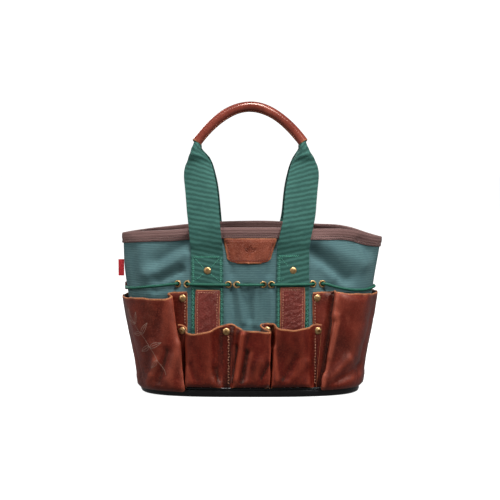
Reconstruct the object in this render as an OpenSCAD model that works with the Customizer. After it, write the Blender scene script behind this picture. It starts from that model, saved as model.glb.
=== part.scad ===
// Garden tool bag: a canvas tote with a lens-shaped mouth, leather pockets, a moulded base
// and two webbing handles.
// Millimetres. The origin is on the ground under the middle of the bag. +Z is up and the front faces -Y.

/* [Canvas body] */
// Width of the canvas at the rim
rim_w = 327; // [320:1:335]
// Depth of the mouth at its middle
rim_d = 124; // [120:1:130]
// Height of the rim at its middle
rim_z = 208; // [204:1:212]
// How far the rim falls towards its two pinched ends
rim_drop = 12; // [6:1:16]
// Width of the canvas at the base
foot_w = 259; // [256:1:263]
// Depth of the canvas at the base
foot_d = 144; // [140:1:148]
// Thickness of the canvas
canvas_t = 1.4; // [1.2:0.1:1.5]
// Thickness of the lining
lining_t = 0.8; // [0.6:0.1:0.9]

/* [Base] */
// Height of the moulded tray's wall
tray_h = 9; // [8:0.5:10]
// Thickness of the tray's floor
tray_floor = 3; // [2.5:0.1:3.2]
// Diameter of the welt round the tray's top edge
welt_d = 3; // [2.6:0.1:3.2]

/* [Webbing and handles] */
// Width of the webbing
web_w = 40; // [38:1:42]
// Thickness of the webbing
web_t = 1.8; // [1.6:0.1:2]
// Outer diameter of the leather grips
grip_d = 12.6; // [12:0.1:13]
// Height of the grips' centreline at its top
grip_top = 357.3; // [350:0.1:362]
// Distance between the two ends of a grip
grip_span = 133; // [130:1:136]
// How far a grip's ends lie below its top
grip_fall = 43.8; // [40:0.1:46]

/* [Leather] */
// Thickness of the pocket leather
leather_t = 2; // [1.8:0.1:2]
// Height of the end pockets
end_z = 122; // [118:1:124]
// Height of the row of three pockets
row_z = 80; // [76:1:83]

/* [Fasteners and cord] */
// Diameter of a rivet's cap
rivet_d = 9.2; // [8.6:0.1:9.6]
// Outer diameter of an eyelet
eyelet_d = 8.8; // [8.4:0.1:9]
// Diameter of the elastic cord
cord_d = 3; // [2.8:0.1:3.2]
// Height of the eyelets
cord_z = 138.5; // [137:0.5:140]

/* [Hidden] */

canvas_green = "#4b6668";
webbing_green = "#2f7765";
binding_brown = "#6a4f4b";
leather_brown = "#6e2a1c";
brass = "#b8955a";

air = 0.1;                                  // clearance between neighbouring layers
fabric_z = tray_floor + 0.2;                // where fabric and leather start inside the tray
foot_z = tray_h + welt_d + 0.6;             // up to here the walls stand straight inside the tray and welt
wall_t = canvas_t + lining_t + 2 * air;     // canvas and lining together
welt_off = 5.7 + welt_d / 2;                // the welt's centreline outside the canvas
tray_off = 5.7 + welt_d;                    // the tray's outer face outside the canvas
tray_wall = 2.8;
binding_gap = 0.4;
binding_h = 12.5;
binding_t = 1.1;
hinge_z = 174;                              // top of a strap's stitched box, where the handle bends
hinge_y = 67.5;                             // distance of the handles' hinge axes from the middle
hinge_gap = 2;                              // webbing left free on each side of the hinge axis
patch_w = 29;                               // the leather patch on each strap, below the elastic
patch_low = 40;
patch_high = 131;
patch_t = 1.6;
strap_foot_x = 52.4;
strap_hinge_x = 53.2;
grip_gap_y = 7.6;                           // distance of a grip's centreline from the middle
sleeve_wall = 1.6;
keeper_z = 131;                             // height of the leather tab that holds both ends of the elastic
flange_x = 77;                              // edge of an end pocket's sewn flange

// Eyelets lie in pairs either side of each strap.
eyelet_x = [for (s = [-1, 1], x = [16.2, 26.7, 77.9, 89.7]) s * x];
strap_rivets = [for (s = [-1, 1]) [s * 52.8, 155.5]];
flange_rivets = [for (s = [-1, 1]) each [[s * 83, 81], [s * 84, 121]]];
divider_rivets = [[-29, 80.5], [21, 81.5]];

// ---------------------------------------------------------------- the bag's skin
// The plan at each height is |x/w|^px + |y/d|^py = 1, rounded at the base and a pointed lens at the rim.
function rise(z) = min(1, max(0, (z - foot_z) / (rim_z - foot_z)));
function half_w(z) = rim_w / 2 - (rim_w - foot_w) / 2 * pow(1 - rise(z), 1.6);
function half_d(z) = foot_d / 2 + (rim_d - foot_d) / 2 * rise(z);
function power_x(z) = 3 - rise(z);
function power_y(z) = 3 - 2 * rise(z);
function bow(u, z) = pow(max(0, 1 - pow(min(1, abs(u)), power_x(z))), 1 / power_y(z));
// A point of the front, off outside the canvas, by its angle round the plan: 0 in front, -90 at the left end.
function skin(a, z, off) = [(half_w(z) + off) * sin(a), -(half_d(z) + off) * bow(sin(a), z), z];
// A point of the front by its x.
function face(x, z, off) = [x, -(half_d(z) + off) * bow(x / (half_w(z) + off), z), z];
function plan(off, z) = [for (a = [0:5:355]) let (p = skin(a, z, off)) [p[0], cos(a) < 0 ? -p[1] : p[1]]];
function rim_at(x) = rim_z - rim_drop * pow(x / (rim_w / 2), 2);
function outward(x, z) =
    let (n = cross(face(x + 1, z, 0) - face(x - 1, z, 0), face(x, z + 1, 0) - face(x, z - 1, 0))) n / norm(n);

// ---------------------------------------------------------------- builders
// A closed sheet between an outer and an inner grid of points, rows going up and columns going right.
module sheet(outer, inner) {
    rows = len(outer);
    cols = len(outer[0]);
    m = rows * cols;
    quads = [
        for (i = [0:rows - 2], j = [0:cols - 2])
            each [
                [i * cols + j, (i + 1) * cols + j, (i + 1) * cols + j + 1, i * cols + j + 1],
                [m + i * cols + j, m + i * cols + j + 1, m + (i + 1) * cols + j + 1, m + (i + 1) * cols + j]
            ],
        for (j = [0:cols - 2])
            each [
                [j, j + 1, m + j + 1, m + j],
                [(rows - 1) * cols + j + 1, (rows - 1) * cols + j, m + (rows - 1) * cols + j,
                    m + (rows - 1) * cols + j + 1]
            ],
        for (i = [0:rows - 2])
            each [
                [(i + 1) * cols, i * cols, m + i * cols, m + (i + 1) * cols],
                [(i + 1) * cols - 1, (i + 2) * cols - 1, m + (i + 2) * cols - 1, m + (i + 1) * cols - 1]
            ]
    ];
    triangles = [for (q = quads) each [[q[0], q[1], q[2]], [q[0], q[2], q[3]]]];
    polyhedron([for (row = concat(outer, inner)) each row], triangles);
}

// A closed tube through rings of points, or a closed loop of them.
module tube(rings, loop = false) {
    n = len(rings[0]);
    last = len(rings) - 1;
    sides = [
        for (i = [0:last - (loop ? 0 : 1)], j = [0:n - 1])
            let (a = i * n, b = (i == last ? 0 : i + 1) * n, k = (j + 1) % n)
                each [[a + j, a + k, b + k], [a + j, b + k, b + j]]
    ];
    caps = loop ? [] : [[for (j = [n - 1:-1:0]) j], [for (j = [0:n - 1]) last * n + j]];
    polyhedron([for (r = rings) each r], concat(sides, caps));
}

// Heights of a sheet's rows: one inside the tray, then evenly up to the top.
function level(i, rows, top) = i == 0 ? fabric_z : foot_z + (top - foot_z) * (i - 1) / (rows - 1);

// A panel of the front between two offsets, from the tray to the rim.
module front_panel(off_out, off_in) {
    function grid(off) = [
        for (i = [0:9]) [for (a = [-90:7.5:90]) skin(a, level(i, 9, rim_at(skin(a, rim_z, 0)[0])), off)]
    ];
    sheet(grid(off_out), grid(off_in));
}

// A flat strip laid on the front: centre and half width by height, between two offsets.
module front_strip(centre, half, z_low, z_high, off_low, off_high, rows = 8, cols = 5) {
    function middle(z) = centre[0] + (centre[1] - centre[0]) * (z - z_low) / (z_high - z_low);
    function grid(off) = [
        for (i = [0:rows])
            let (z = z_low < foot_z ? level(i, rows, z_high) : z_low + (z_high - z_low) * i / rows)
                [for (j = [0:cols]) face(middle(z) + half * (2 * j / cols - 1), z, off)]
    ];
    sheet(grid(off_high), grid(off_low));
}

// Places a fastener's axis along the skin's outward normal.
module on_skin(x, z, off) {
    n = outward(x, z);
    translate(face(x, z, 0) + n * off) rotate([0, acos(n[2]), atan2(n[1], n[0])]) children();
}

// The holes of every fastener that goes through the front wall.
module eyelet_holes() for (x = eyelet_x) on_skin(x, cord_z, -4) cylinder(d = 6.2, h = 8, $fn = 24);
module rivet_holes() for (p = concat(strap_rivets, flange_rivets, divider_rivets))
    on_skin(p[0], p[1], -4) cylinder(d = 3.2, h = 14, $fn = 16);

// ---------------------------------------------------------------- base
module base_tray() color("#17181a") difference() {
    linear_extrude(tray_h) polygon(plan(tray_off, 0));
    translate([0, 0, tray_floor]) linear_extrude(tray_h) polygon(plan(tray_off - tray_wall, 0));
}

module base_welt() {
    function ring(a) = let (
        p = plan(welt_off, 0)[a], q = plan(welt_off, 0)[(a + 1) % 72], r = plan(welt_off, 0)[(a + 71) % 72],
        t = (q - r) / norm(q - r)
    ) [
        for (k = [0:45:315])
            [p[0] + t[1] * cos(k) * welt_d / 2, p[1] - t[0] * cos(k) * welt_d / 2,
                tray_h + air + welt_d / 2 * (1 + sin(k))]
    ];
    color("#101113") tube([for (a = [0:71]) ring(a)], loop = true);
}

module base_board() color("#4a3a2c") translate([0, 0, fabric_z])
    linear_extrude(3) polygon(plan(-wall_t - 1, 0));

module floor_lining() color("#202224") translate([0, 0, fabric_z + 3 + air])
    linear_extrude(lining_t) polygon(plan(-wall_t - 1, 0));

// ---------------------------------------------------------------- fabric body
module front_canvas() color(canvas_green) difference() {
    front_panel(0, -canvas_t);
    eyelet_holes();
    rivet_holes();
}
module front_lining() color("#202224") difference() {
    front_panel(-canvas_t - air, -canvas_t - air - lining_t);
    eyelet_holes();
    rivet_holes();
}
module back_canvas() mirror([0, 1, 0]) front_canvas();
module back_lining() mirror([0, 1, 0]) front_lining();

// Tape folded over the rim, all the way round.
module rim_binding() {
    gap = binding_gap;
    inside = -wall_t - gap;
    section = [
        [gap + binding_t, -binding_h], [gap + binding_t, 1], [gap + binding_t - 0.6, air + binding_t],
        [inside - binding_t + 0.6, air + binding_t], [inside - binding_t, 1],
        [inside - binding_t, -binding_h], [inside, -binding_h], [inside, air], [gap, air], [gap, -binding_h]
    ];
    function ring(a) = [
        for (s = section)
            let (top = rim_at(skin(a, rim_z, 0)[0]), p = skin(a, top + min(0, s[1]), s[0]))
                [p[0], cos(a) < -0.001 ? -p[1] : p[1], top + s[1]]
    ];
    color(binding_brown) tube([for (a = [0:7.5:352.5]) ring(a)], loop = true);
}

// Leather badge under the binding, with rounded lower corners.
module front_badge() {
    bottom = 162;
    height = rim_z - binding_h - 1.4 - bottom;
    function half(t) = t < 0.25 ? 18 + 8 * sqrt(1 - pow(1 - t / 0.25, 2)) : 26 + 6 * (t - 0.25) / 0.75;
    function grid(off) = [
        for (t = [0, 0.02, 0.06, 0.12, 0.18, 0.25, 0.5, 0.75, 1])
            [for (j = [-3:3]) face(half(t) * j / 3, bottom + height * t, off)]
    ];
    color("#7e3b2b") sheet(grid(air + 1.8), grid(air));
}

// ---------------------------------------------------------------- straps sewn to the body
module strap(side) color(webbing_green) difference() {
    front_strip([side * strap_foot_x, side * strap_hinge_x], web_w / 2, fabric_z, hinge_z - hinge_gap,
        air, air + web_t, 12);
    rivet_holes();
}
module strap_patch(side) {
    x = side * strap_foot_x;
    back = 2 * air + web_t;
    color(leather_brown) front_strip([x, x], patch_w / 2, patch_low, patch_high, back, back + patch_t);
}

module front_left_strap() strap(-1);
module front_right_strap() strap(1);
module back_left_strap() mirror([0, 1, 0]) strap(-1);
module back_right_strap() mirror([0, 1, 0]) strap(1);
module front_left_strap_patch() strap_patch(-1);
module front_right_strap_patch() strap_patch(1);
module back_left_strap_patch() mirror([0, 1, 0]) strap_patch(-1);
module back_right_strap_patch() mirror([0, 1, 0]) strap_patch(1);

// ---------------------------------------------------------------- leather pockets
belly = 3;                                  // how far a pocket's face swells above the base
function swell(s) = belly * 6.75 * s * pow(1 - s, 2);
function gap_at(top, foot, s, full) = foot + (top - foot) * s + full * swell(s);

// A pocket's inner face, row by row. A station is [x at the top, x at the foot, gap at the top,
// gap at the foot, height, share of the swell], and its gap is measured outside the canvas.
function pocket_row(stations, i) = [
    for (k = stations)
        let (z = level(i, 7, k[4]), s = max(0, i - 1) / 6, gap = gap_at(k[2], k[3], s, k[5]))
            face(max(k[1] + (k[0] - k[1]) * s, -half_w(z) - gap), z, gap)
];
// The plan normal at point j of a row, pointing out of the pocket.
function row_normal(row, j) =
    let (
        a = row[max(0, j - 1)], b = row[min(len(row) - 1, j + 1)],
        t = (b - a) / norm([b[0] - a[0], b[1] - a[1]])
    ) [t[1], -t[0], 0];
// A corner needs a longer offset than a straight stretch.
function miter(row, j) = j == 0 || j == len(row) - 1 ? 1 :
    let (
        u = row[j] - row[j - 1], v = row[j + 1] - row[j],
        c = (u[0] * v[0] + u[1] * v[1]) / (norm([u[0], u[1]]) * norm([v[0], v[1]]))
    ) min(1.4, 1 / max(0.5, sqrt((1 + c) / 2)));
module pocket(inner) {
    outer = [for (r = inner) [for (j = [0:len(r) - 1]) r[j] + row_normal(r, j) * leather_t * miter(r, j)]];
    sheet(outer, inner);
}

// An end pocket from the seam round to its front flange. The back half mirrors it.
seam_x = -200;                              // past the seam, where pocket_row stops it at the end of the plan
end_stations = [
    [seam_x, seam_x, 4, 2.9, end_z - 4, 0.3], [-157.5, -131, 6, 2.9, end_z - 3.6, 0.4],
    [-154, -128, 9.5, 2.9, end_z - 3, 0.6], [-147, -123, 15, 2.9, end_z - 2, 0.8],
    [-138, -115, 20, 2.9, end_z - 1, 1], [-126, -106, 23, 2.9, end_z, 1], [-113, -97, 23, 2.9, end_z, 1],
    [-102, -89.5, 20, 2.9, end_z, 1], [-97.6, -85.5, 15, 2.9, end_z + 1, 1],
    [-95.4, -84.5, 0.4, 0.4, end_z + 6, 0],
    [-flange_x, -flange_x, 0.4, 0.4, end_z + 6, 0]
];
module end_pocket() color(leather_brown) difference() {
    pocket([
        for (i = [0:7])
            let (front = pocket_row(end_stations, i))
                concat([for (j = [len(front) - 1:-1:1]) [front[j][0], -front[j][1], front[j][2]]], front)
    ]);
    rivet_holes();
    mirror([0, 1, 0]) rivet_holes();
}

// Three pockets from one strip of leather, sewn down at both ends and at two dividers.
lap = leather_t + 0.8;                      // gap where the strip lies on an end pocket's flange
row_stations = [
    [-87.2, -79, lap, lap, row_z + 5, 0], [-76.6, -76.4, lap, lap, row_z + 4, 0],
    [-76.2, -75.6, 15, 2.9, row_z, 1], [-70, -72, 19, 2.9, row_z - 3, 1], [-60, -62, 20, 2.9, row_z - 3, 1],
    [-48, -50, 16, 2.9, row_z - 1, 1],
    [-41, -42, 8, 2.9, row_z + 2, 1], [-35, -34, 2.6, 2.6, row_z + 4, 0], [-26, -27, 2.6, 2.6, row_z + 5, 0],
    [-20, -22, 2.6, 2.6, row_z + 5, 0], [-14, -19, 10, 2.9, row_z + 3, 1], [-8, -10, 14, 2.9, row_z, 1],
    [2, 2, 16, 2.9, row_z - 1, 1], [8, 11, 16, 2.9, row_z - 1, 1], [12.6, 18, 14, 2.9, row_z, 1],
    [13.6, 19, 2.6, 2.6, row_z + 5, 0], [28.2, 26, 2.6, 2.6, row_z + 5, 0], [29.4, 27, 12, 2.9, row_z + 2, 1],
    [36, 35, 17, 2.9, row_z + 1, 1], [50, 49, 19, 2.9, row_z, 1], [63, 62, 15, 2.9, row_z + 1, 1],
    [72, 72, 8, 2.9, row_z + 3, 1], [76.8, 76.4, lap, lap, row_z + 5, 0], [87.2, 79, lap, lap, row_z + 5, 0]
];
module front_pocket_row() color(leather_brown) difference() {
    pocket([for (i = [0:7]) pocket_row(row_stations, i)]);
    rivet_holes();
}
module left_end_pocket() end_pocket();
module right_end_pocket() mirror([1, 0, 0]) end_pocket();
module back_pocket_row() mirror([0, 1, 0]) front_pocket_row();

// ---------------------------------------------------------------- fasteners
// A rivet through layers from off_in to off_out, with a domed cap on both sides.
module rivet(p, off_out) on_skin(p[0], p[1], 0) color(brass) {
    off_in = -wall_t;
    post = 1.4;
    rotate_extrude($fn = 40) polygon(concat(
        [[0, off_in - 1.6], [rivet_d / 2 - 1.2, off_in - 1.4], [rivet_d / 2 - 0.2, off_in - 0.3],
            [post, off_in - 0.3], [post, off_out + 0.3], [rivet_d / 2, off_out + 0.3]],
        [for (k = [0:15:90]) [rivet_d / 2 * cos(k), off_out + 0.7 + 2 * sin(k)]]
    ));
}
module eyelet(x) on_skin(x, cord_z, 0) color(brass) rotate_extrude($fn = 40) {
    back = -wall_t - 0.5;
    rim = eyelet_d / 2;
    polygon([
        [2.4, back - 1], [rim - 0.6, back - 0.8], [rim - 0.3, back], [2.95, back],
        [2.95, 3 * air], [rim, 3 * air], [rim - 0.3, 0.8], [rim - 1, 1.2], [3, 1.2], [2.4, 0.8]
    ]);
}
module front_strap_rivets() for (p = strap_rivets) rivet(p, web_t + air);
module front_pocket_rivets() {
    for (p = flange_rivets) rivet(p, leather_t + (p[1] > 100 ? 0.4 : lap));
    for (p = divider_rivets) rivet(p, leather_t + 2.6);
}
module front_eyelets() for (x = eyelet_x) eyelet(x);
module back_strap_rivets() mirror([0, 1, 0]) front_strap_rivets();
module back_pocket_rivets() mirror([0, 1, 0]) front_pocket_rivets();
module back_eyelets() mirror([0, 1, 0]) front_eyelets();

// ---------------------------------------------------------------- elastic cord, tag and keeper
cord_out = 2.4 + cord_d / 2;                // the cord's centreline outside the canvas, over the webbing
cord_in = -wall_t - 1.8 - cord_d / 2;       // and inside the lining, between two eyelets of a pair
// The front half of the route, from the keeper at the left seam to the right end: [x, gap, height].
cord_runs = concat(
    [[-156.2, 2.4, keeper_z], [-154.5, 4.4, keeper_z + 0.4], [-148, 4.2, keeper_z + 1.4],
        [-130, 3.6, keeper_z + 4], [-110, 3.4, keeper_z + 7]],
    [
        for (pair = [[-89.7, -77.9], [-26.7, -16.2], [16.2, 26.7], [77.9, 89.7]]) each [
            [pair[0] - 5, cord_out - 0.6, cord_z], [pair[0], -0.6, cord_z],
            [(pair[0] + pair[1]) / 2, cord_in, cord_z],
            [pair[1], -0.6, cord_z], [pair[1] + 5, cord_out - 0.6, cord_z],
            if (pair[1] == -77.9) [-52, cord_out + 0.3, cord_z],
            if (pair[1] == 26.7) [52, cord_out + 0.3, cord_z]
        ]
    ],
    [[108, 4.2, keeper_z + 7], [128, 5.4, keeper_z + 1], [146, 6, keeper_z - 1], [155, 5.6, keeper_z]]
);
function cord_knots() = concat(
    [for (k = cord_runs) face(k[0], k[2], k[1])],
    [[half_w(keeper_z) + 3.4, 0, keeper_z + 1]],
    [
        for (i = [len(cord_runs) - 1:-1:0])
            let (k = cord_runs[i], p = face(k[0], k[2], k[1])) [p[0], -p[1], p[2]]
    ]
);
function spline(p, i, t) =
    let (n = len(p), a = p[max(0, i - 1)], b = p[i], c = p[min(n - 1, i + 1)], d = p[min(n - 1, i + 2)])
        (2 * b + t * (c - a) + t * t * (2 * a - 5 * b + 4 * c - d) + t * t * t * (3 * b - a - 3 * c + d)) / 2;
module elastic_cord() {
    knots = cord_knots();
    line = [for (i = [0:len(knots) - 2], t = [0, 0.5]) spline(knots, i, t), knots[len(knots) - 1]];
    last = len(line) - 1;
    color("#2a7a5e") tube([
        for (i = [0:last])
            let (
                t = line[min(last, i + 1)] - line[max(0, i - 1)], u = t / norm(t),
                side = cross(u, [0, 0, 1]) / norm(cross(u, [0, 0, 1])), up = cross(side, u)
            )
                [for (k = [0:45:315]) line[i] + (side * cos(k) + up * sin(k)) * cord_d / 2]
    ]);
}
module cord_keeper() color(leather_brown)
    translate([-half_w(keeper_z) - 4, -2.4, keeper_z - 5]) cube([3.2, 4.8, 10]);
module side_tag() {
    z = 158;
    color("#c8161e") translate([-half_w(z) - 8, -0.6, z - 10.5]) cube([7, 1.2, 21]);
}

// ---------------------------------------------------------------- handles
// The handle's centreline from the left hinge over the grip: [x, z, half width, half thickness].
leg = [
    [-53.3, hinge_z + hinge_gap, web_w / 2, web_t / 2], [-54.5, 192, web_w / 2, web_t / 2],
    [-56, 209, web_w / 2, web_t / 2], [-59, 241, web_w / 2, web_t / 2], [-62.5, 271, web_w / 2, web_t / 2],
    [-63.3, 279, 18.5, 1.1], [-64, 287, 15, 1.6], [-64.8, 294, 11, 2.4], [-65.6, 301, 7.6, 3.2],
    [-66.2, 308, 5.6, 4.1]
];
roll_r = grip_d / 2 - sleeve_wall - 0.3;    // the webbing is rolled inside the grip
arch_x = [for (i = [-8:8]) grip_span / 2 * i / 8];
function arch_z(x) = grip_top - grip_fall * pow(2 * x / grip_span, 2);
handle_line = concat(
    leg,
    [for (x = arch_x) [x, arch_z(x), roll_r, roll_r]],
    [for (i = [len(leg) - 1:-1:0]) [-leg[i][0], leg[i][1], leg[i][2], leg[i][3]]]
);
// Over the canvas a leg follows the wall, and above the rim it leans in to meet the other handle.
leg_gap = 3.6;                              // the webbing's middle outside the canvas, clear of the binding
rim_leg_y = face(56, rim_z, leg_gap)[1];
function leg_y(z) = z < rim_z ? face(56, z, leg_gap)[1]
    : rim_leg_y - (grip_gap_y + rim_leg_y) * (z - rim_z) / (grip_top - rim_z);
// The strap's turn about the vertical, which follows the wall's slope and fades above the rim.
function leg_turn(x, z) = sign(x) * (z < rim_z ? 11 + 4 * (z - hinge_z) / (rim_z - hinge_z)
    : 15 * pow(max(0, 1 - (z - rim_z) / 105), 1.2));
function handle_point(k) = let (p = handle_line[k]) [p[0], leg_y(p[1]), p[1]];
module along_handle(first, last, radius = 0) {
    tube([
        for (k = [first:last])
            let (
                p = handle_line[k], c = handle_point(k),
                t = handle_point(min(last, k + 1)) - handle_point(max(first, k - 1)), u = t / norm(t),
                turn = leg_turn(p[0], p[1]), front = [sin(turn), -cos(turn), 0],
                wide = cross(front, u) / norm(cross(front, u)), thick = cross(wide, u),
                w = radius > 0 ? radius : p[2], h = radius > 0 ? radius : p[3]
            )
                [
                    for (a = [0:22.5:337.5])
                        let (q = w > 2 * h ? 0.35 : 1)
                            c + wide * w * sign(cos(a)) * pow(abs(cos(a)), q)
                              + thick * h * sign(sin(a)) * pow(abs(sin(a)), q)
                ]
    ]);
}
legs = len(leg);
arch_first = legs;
arch_last = legs + len(arch_x) - 1;
module front_handle_webbing() color(webbing_green) along_handle(0, len(handle_line) - 1);
module front_grip_sleeve() color("#8a3f28") difference() {
    along_handle(arch_first, arch_last, grip_d / 2);
    along_handle(arch_first - 1, arch_last + 1, grip_d / 2 - sleeve_wall);
}
module back_handle_webbing() mirror([0, 1, 0]) front_handle_webbing();
module back_grip_sleeve() mirror([0, 1, 0]) front_grip_sleeve();

base_tray();
base_welt();
base_board();
floor_lining();
front_canvas();
back_canvas();
front_lining();
back_lining();
rim_binding();
front_badge();
side_tag();
cord_keeper();
elastic_cord();
front_eyelets();
back_eyelets();
front_left_strap();
front_right_strap();
back_left_strap();
back_right_strap();
front_left_strap_patch();
front_right_strap_patch();
back_left_strap_patch();
back_right_strap_patch();
left_end_pocket();
right_end_pocket();
front_pocket_row();
back_pocket_row();
front_strap_rivets();
back_strap_rivets();
front_pocket_rivets();
back_pocket_rivets();
front_handle_webbing();
front_grip_sleeve();
back_handle_webbing();
back_grip_sleeve();
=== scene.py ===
"""Garden tool bag: a canvas tote with leather pockets, webbing handles, an elastic cord and a moulded base.

Every piece is built in millimetres with +Z up and the front facing -Y, then scaled to metres. The bag's wall
follows the same rules as the CAD model. What lies on the wall is placed by x, height and distance from it.
"""

import math

import bpy
import numpy as np
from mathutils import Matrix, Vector


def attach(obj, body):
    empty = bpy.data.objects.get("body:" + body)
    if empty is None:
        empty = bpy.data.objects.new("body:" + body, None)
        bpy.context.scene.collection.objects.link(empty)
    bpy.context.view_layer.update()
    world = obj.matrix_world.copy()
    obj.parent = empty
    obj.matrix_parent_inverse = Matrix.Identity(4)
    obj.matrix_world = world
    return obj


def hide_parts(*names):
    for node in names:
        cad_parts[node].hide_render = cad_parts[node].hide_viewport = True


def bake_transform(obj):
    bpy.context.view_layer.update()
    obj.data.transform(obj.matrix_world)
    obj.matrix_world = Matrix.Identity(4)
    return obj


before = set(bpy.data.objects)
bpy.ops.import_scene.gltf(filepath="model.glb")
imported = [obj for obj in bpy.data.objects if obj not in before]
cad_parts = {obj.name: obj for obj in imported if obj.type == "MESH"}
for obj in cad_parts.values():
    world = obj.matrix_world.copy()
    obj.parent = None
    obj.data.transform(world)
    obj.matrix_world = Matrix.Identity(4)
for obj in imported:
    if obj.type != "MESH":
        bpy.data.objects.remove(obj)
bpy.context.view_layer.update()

MM = 0.001

# ---------------------------------------------------------------- driving dimensions, as in the CAD model
RIM_W, RIM_D, RIM_Z, RIM_DROP = 327, 124, 208, 12
FOOT_W, FOOT_D = 259, 144
TRAY_H, TRAY_FLOOR, WELT_D = 9, 3, 3
CANVAS_T, LINING_T, BOARD_T, AIR = 1.4, 0.8, 3, 0.1
WEB_W, WEB_T = 40, 1.8
GRIP_D, GRIP_TOP, GRIP_SPAN, GRIP_FALL, SLEEVE_WALL = 12.6, 357.3, 133, 43.8, 1.6
LEATHER_T, PATCH_T = 2, 1.6
CORD_D, CORD_Z, KEEPER_Z = 3, 138.5, 131
EYELET_D, RIVET_D = 8.8, 9.2
BINDING_H, BINDING_T, BINDING_GAP = 12.5, 1.1, 0.4
FABRIC_Z = TRAY_FLOOR + 0.2
FOOT_Z = TRAY_H + WELT_D + 0.6
WALL_T = CANVAS_T + LINING_T + 2 * AIR
WELT_OFF = 5.7 + WELT_D / 2
TRAY_OFF = 5.7 + WELT_D
TRAY_WALL = 2.8
HINGE_Y, HINGE_Z = 67.5, 174
STRAP_FOOT_X, STRAP_HINGE_X = 52.4, 53.2
GRIP_GAP_Y = 7.6
LEAN, LEAN_FROM_Z = 2.8, 140
LEG_GAP = 3.6
EYELET_PAIRS = ((-89.7, -77.9), (-26.7, -16.2), (16.2, 26.7), (77.9, 89.7))
TO_BACK = np.array([1, -1, 1])


# ---------------------------------------------------------------- the bag's wall
def smooth(t):
    """Rises from 0 to 1 while t does, level at both ends."""
    t = np.clip(t, 0, 1)
    return t * t * (3 - 2 * t)


def hump(x, width):
    """1 where x is 0, fading away over the width on both sides."""
    return np.exp(-((x / width) ** 2))


def unit(v):
    """The same vectors at length 1."""
    return v / np.maximum(1e-9, np.linalg.norm(v, axis=-1, keepdims=True))


def run_along(line):
    """Length from the start of a line of points to each point of it."""
    return np.concatenate([[0], np.cumsum(np.linalg.norm(np.diff(line, axis=0), axis=1))])


def rise(z):
    """Share of the fabric's height, from its foot to the rim."""
    return np.clip((z - FOOT_Z) / (RIM_Z - FOOT_Z), 0, 1)


def half_w(z):
    return RIM_W / 2 - (RIM_W - FOOT_W) / 2 * (1 - rise(z)) ** 1.6


def half_d(z):
    return FOOT_D / 2 + (RIM_D - FOOT_D) / 2 * rise(z)


def bow(u, z):
    """Share of the half depth at share u of the half width: round at the base, a pointed lens at the rim."""
    u = np.minimum(1, np.abs(u))
    return np.maximum(0, 1 - u ** (3 - rise(z))) ** (1 / (3 - 2 * rise(z)))


# Soft folds of the canvas: x and z of both ends, width and height, which is negative in a valley.
FOLDS = [
    (-79, 190, -118, 164, 9, -2.4), (-84, 176, -126, 150, 8, 1.6), (-88, 155, -116, 141, 6, -2.2),
    (-140, 190, -132, 150, 13, 1.0), (-150, 176, -146, 140, 8, -0.8), (76, 178, 122, 143, 8, -3.0),
    (80, 194, 140, 160, 10, 1.8), (88, 160, 104, 146, 6, 1.2), (136, 190, 156, 172, 7, -1.6),
    (-24, 132, -20, 88, 4.5, -1.3), (-14, 134, -8, 92, 4, 1.1), (-4, 134, 0, 96, 4.5, -1.1),
    (8, 132, 6, 90, 4, 1.0), (18, 134, 16, 92, 4, -1.0), (28, 130, 26, 90, 3.5, 0.9),
    (-96, 134, -120, 128, 5, -1.4), (96, 132, 124, 124, 5, -1.4), (-30, 188, -24, 152, 5, -0.8),
    (28, 184, 24, 152, 5, -0.8), (0, 158, 0, 146, 14, 0.8),
]


def crease(x, z, x0, z0, x1, z1, width, height):
    """Height of one fold at x and z, for a fold that runs from one end to the other."""
    dx, dz = x1 - x0, z1 - z0
    t = np.clip(((x - x0) * dx + (z - z0) * dz) / (dx * dx + dz * dz), 0, 1)
    away = np.hypot(x - x0 - t * dx, z - z0 - t * dz)
    return height * hump(away, width)


def lean(z):
    """How far the soft upper wall has slumped to the right."""
    return LEAN * smooth((z - LEAN_FROM_Z) / (RIM_Z - 6 - LEAN_FROM_Z))


def drape(x, z):
    """How far the soft wall stands off its plain shape."""
    x, z = np.broadcast_arrays(np.asarray(x, float), np.asarray(z, float))
    total = 2.4 * sum(crease(x, z, *fold) for fold in FOLDS)
    total = total + 0.8 * np.sin(x / 19 + 1.3) * np.sin(z / 23 + x / 61)
    held = smooth((z - FOOT_Z) / 40) * smooth((RIM_Z - 2 - z) / 16) * smooth((half_w(z) - np.abs(x)) / 14)
    return total * held


def wall(x, z, off=0.0):
    """Points of the front wall by x and height, off outside the canvas."""
    x, z = np.broadcast_arrays(np.asarray(x, float), np.asarray(z, float))
    off = off + drape(x, z)
    return np.stack([x + lean(z), -(half_d(z) + off) * bow(x / (half_w(z) + off), z), z], -1)


def ring(angle, z, off=0.0):
    """Points of the wall by angle round the plan: 0 in front, -90 at the left end and 180 at the back."""
    angle, z, off = np.broadcast_arrays(*(np.asarray(v, float) for v in (angle, z, off)))
    s, c = np.sin(np.radians(angle)), np.cos(np.radians(angle))
    x = half_w(z) * s
    off = off + drape(x, z)
    y = -(half_d(z) + off) * bow(s, z) * np.where(c < -1e-9, -1, 1)
    return np.stack([(half_w(z) + off) * s + lean(z), y, z], -1)


def rim_at(x):
    """Height of the rim. The left end stands higher than the right one."""
    x = np.asarray(x)
    lift = 1.5 * smooth((-x - 95) / 65) - 3.5 * smooth((x - 125) / 38) + 2.2 * hump(x - 112, 22)
    return RIM_Z - RIM_DROP * (x / (RIM_W / 2)) ** 2 + lift


def wall_normal(x, z):
    """Directions straight out of the front wall."""
    return unit(np.cross(wall(x + 1, z) - wall(x - 1, z), wall(x, z + 1) - wall(x, z - 1)))


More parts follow.
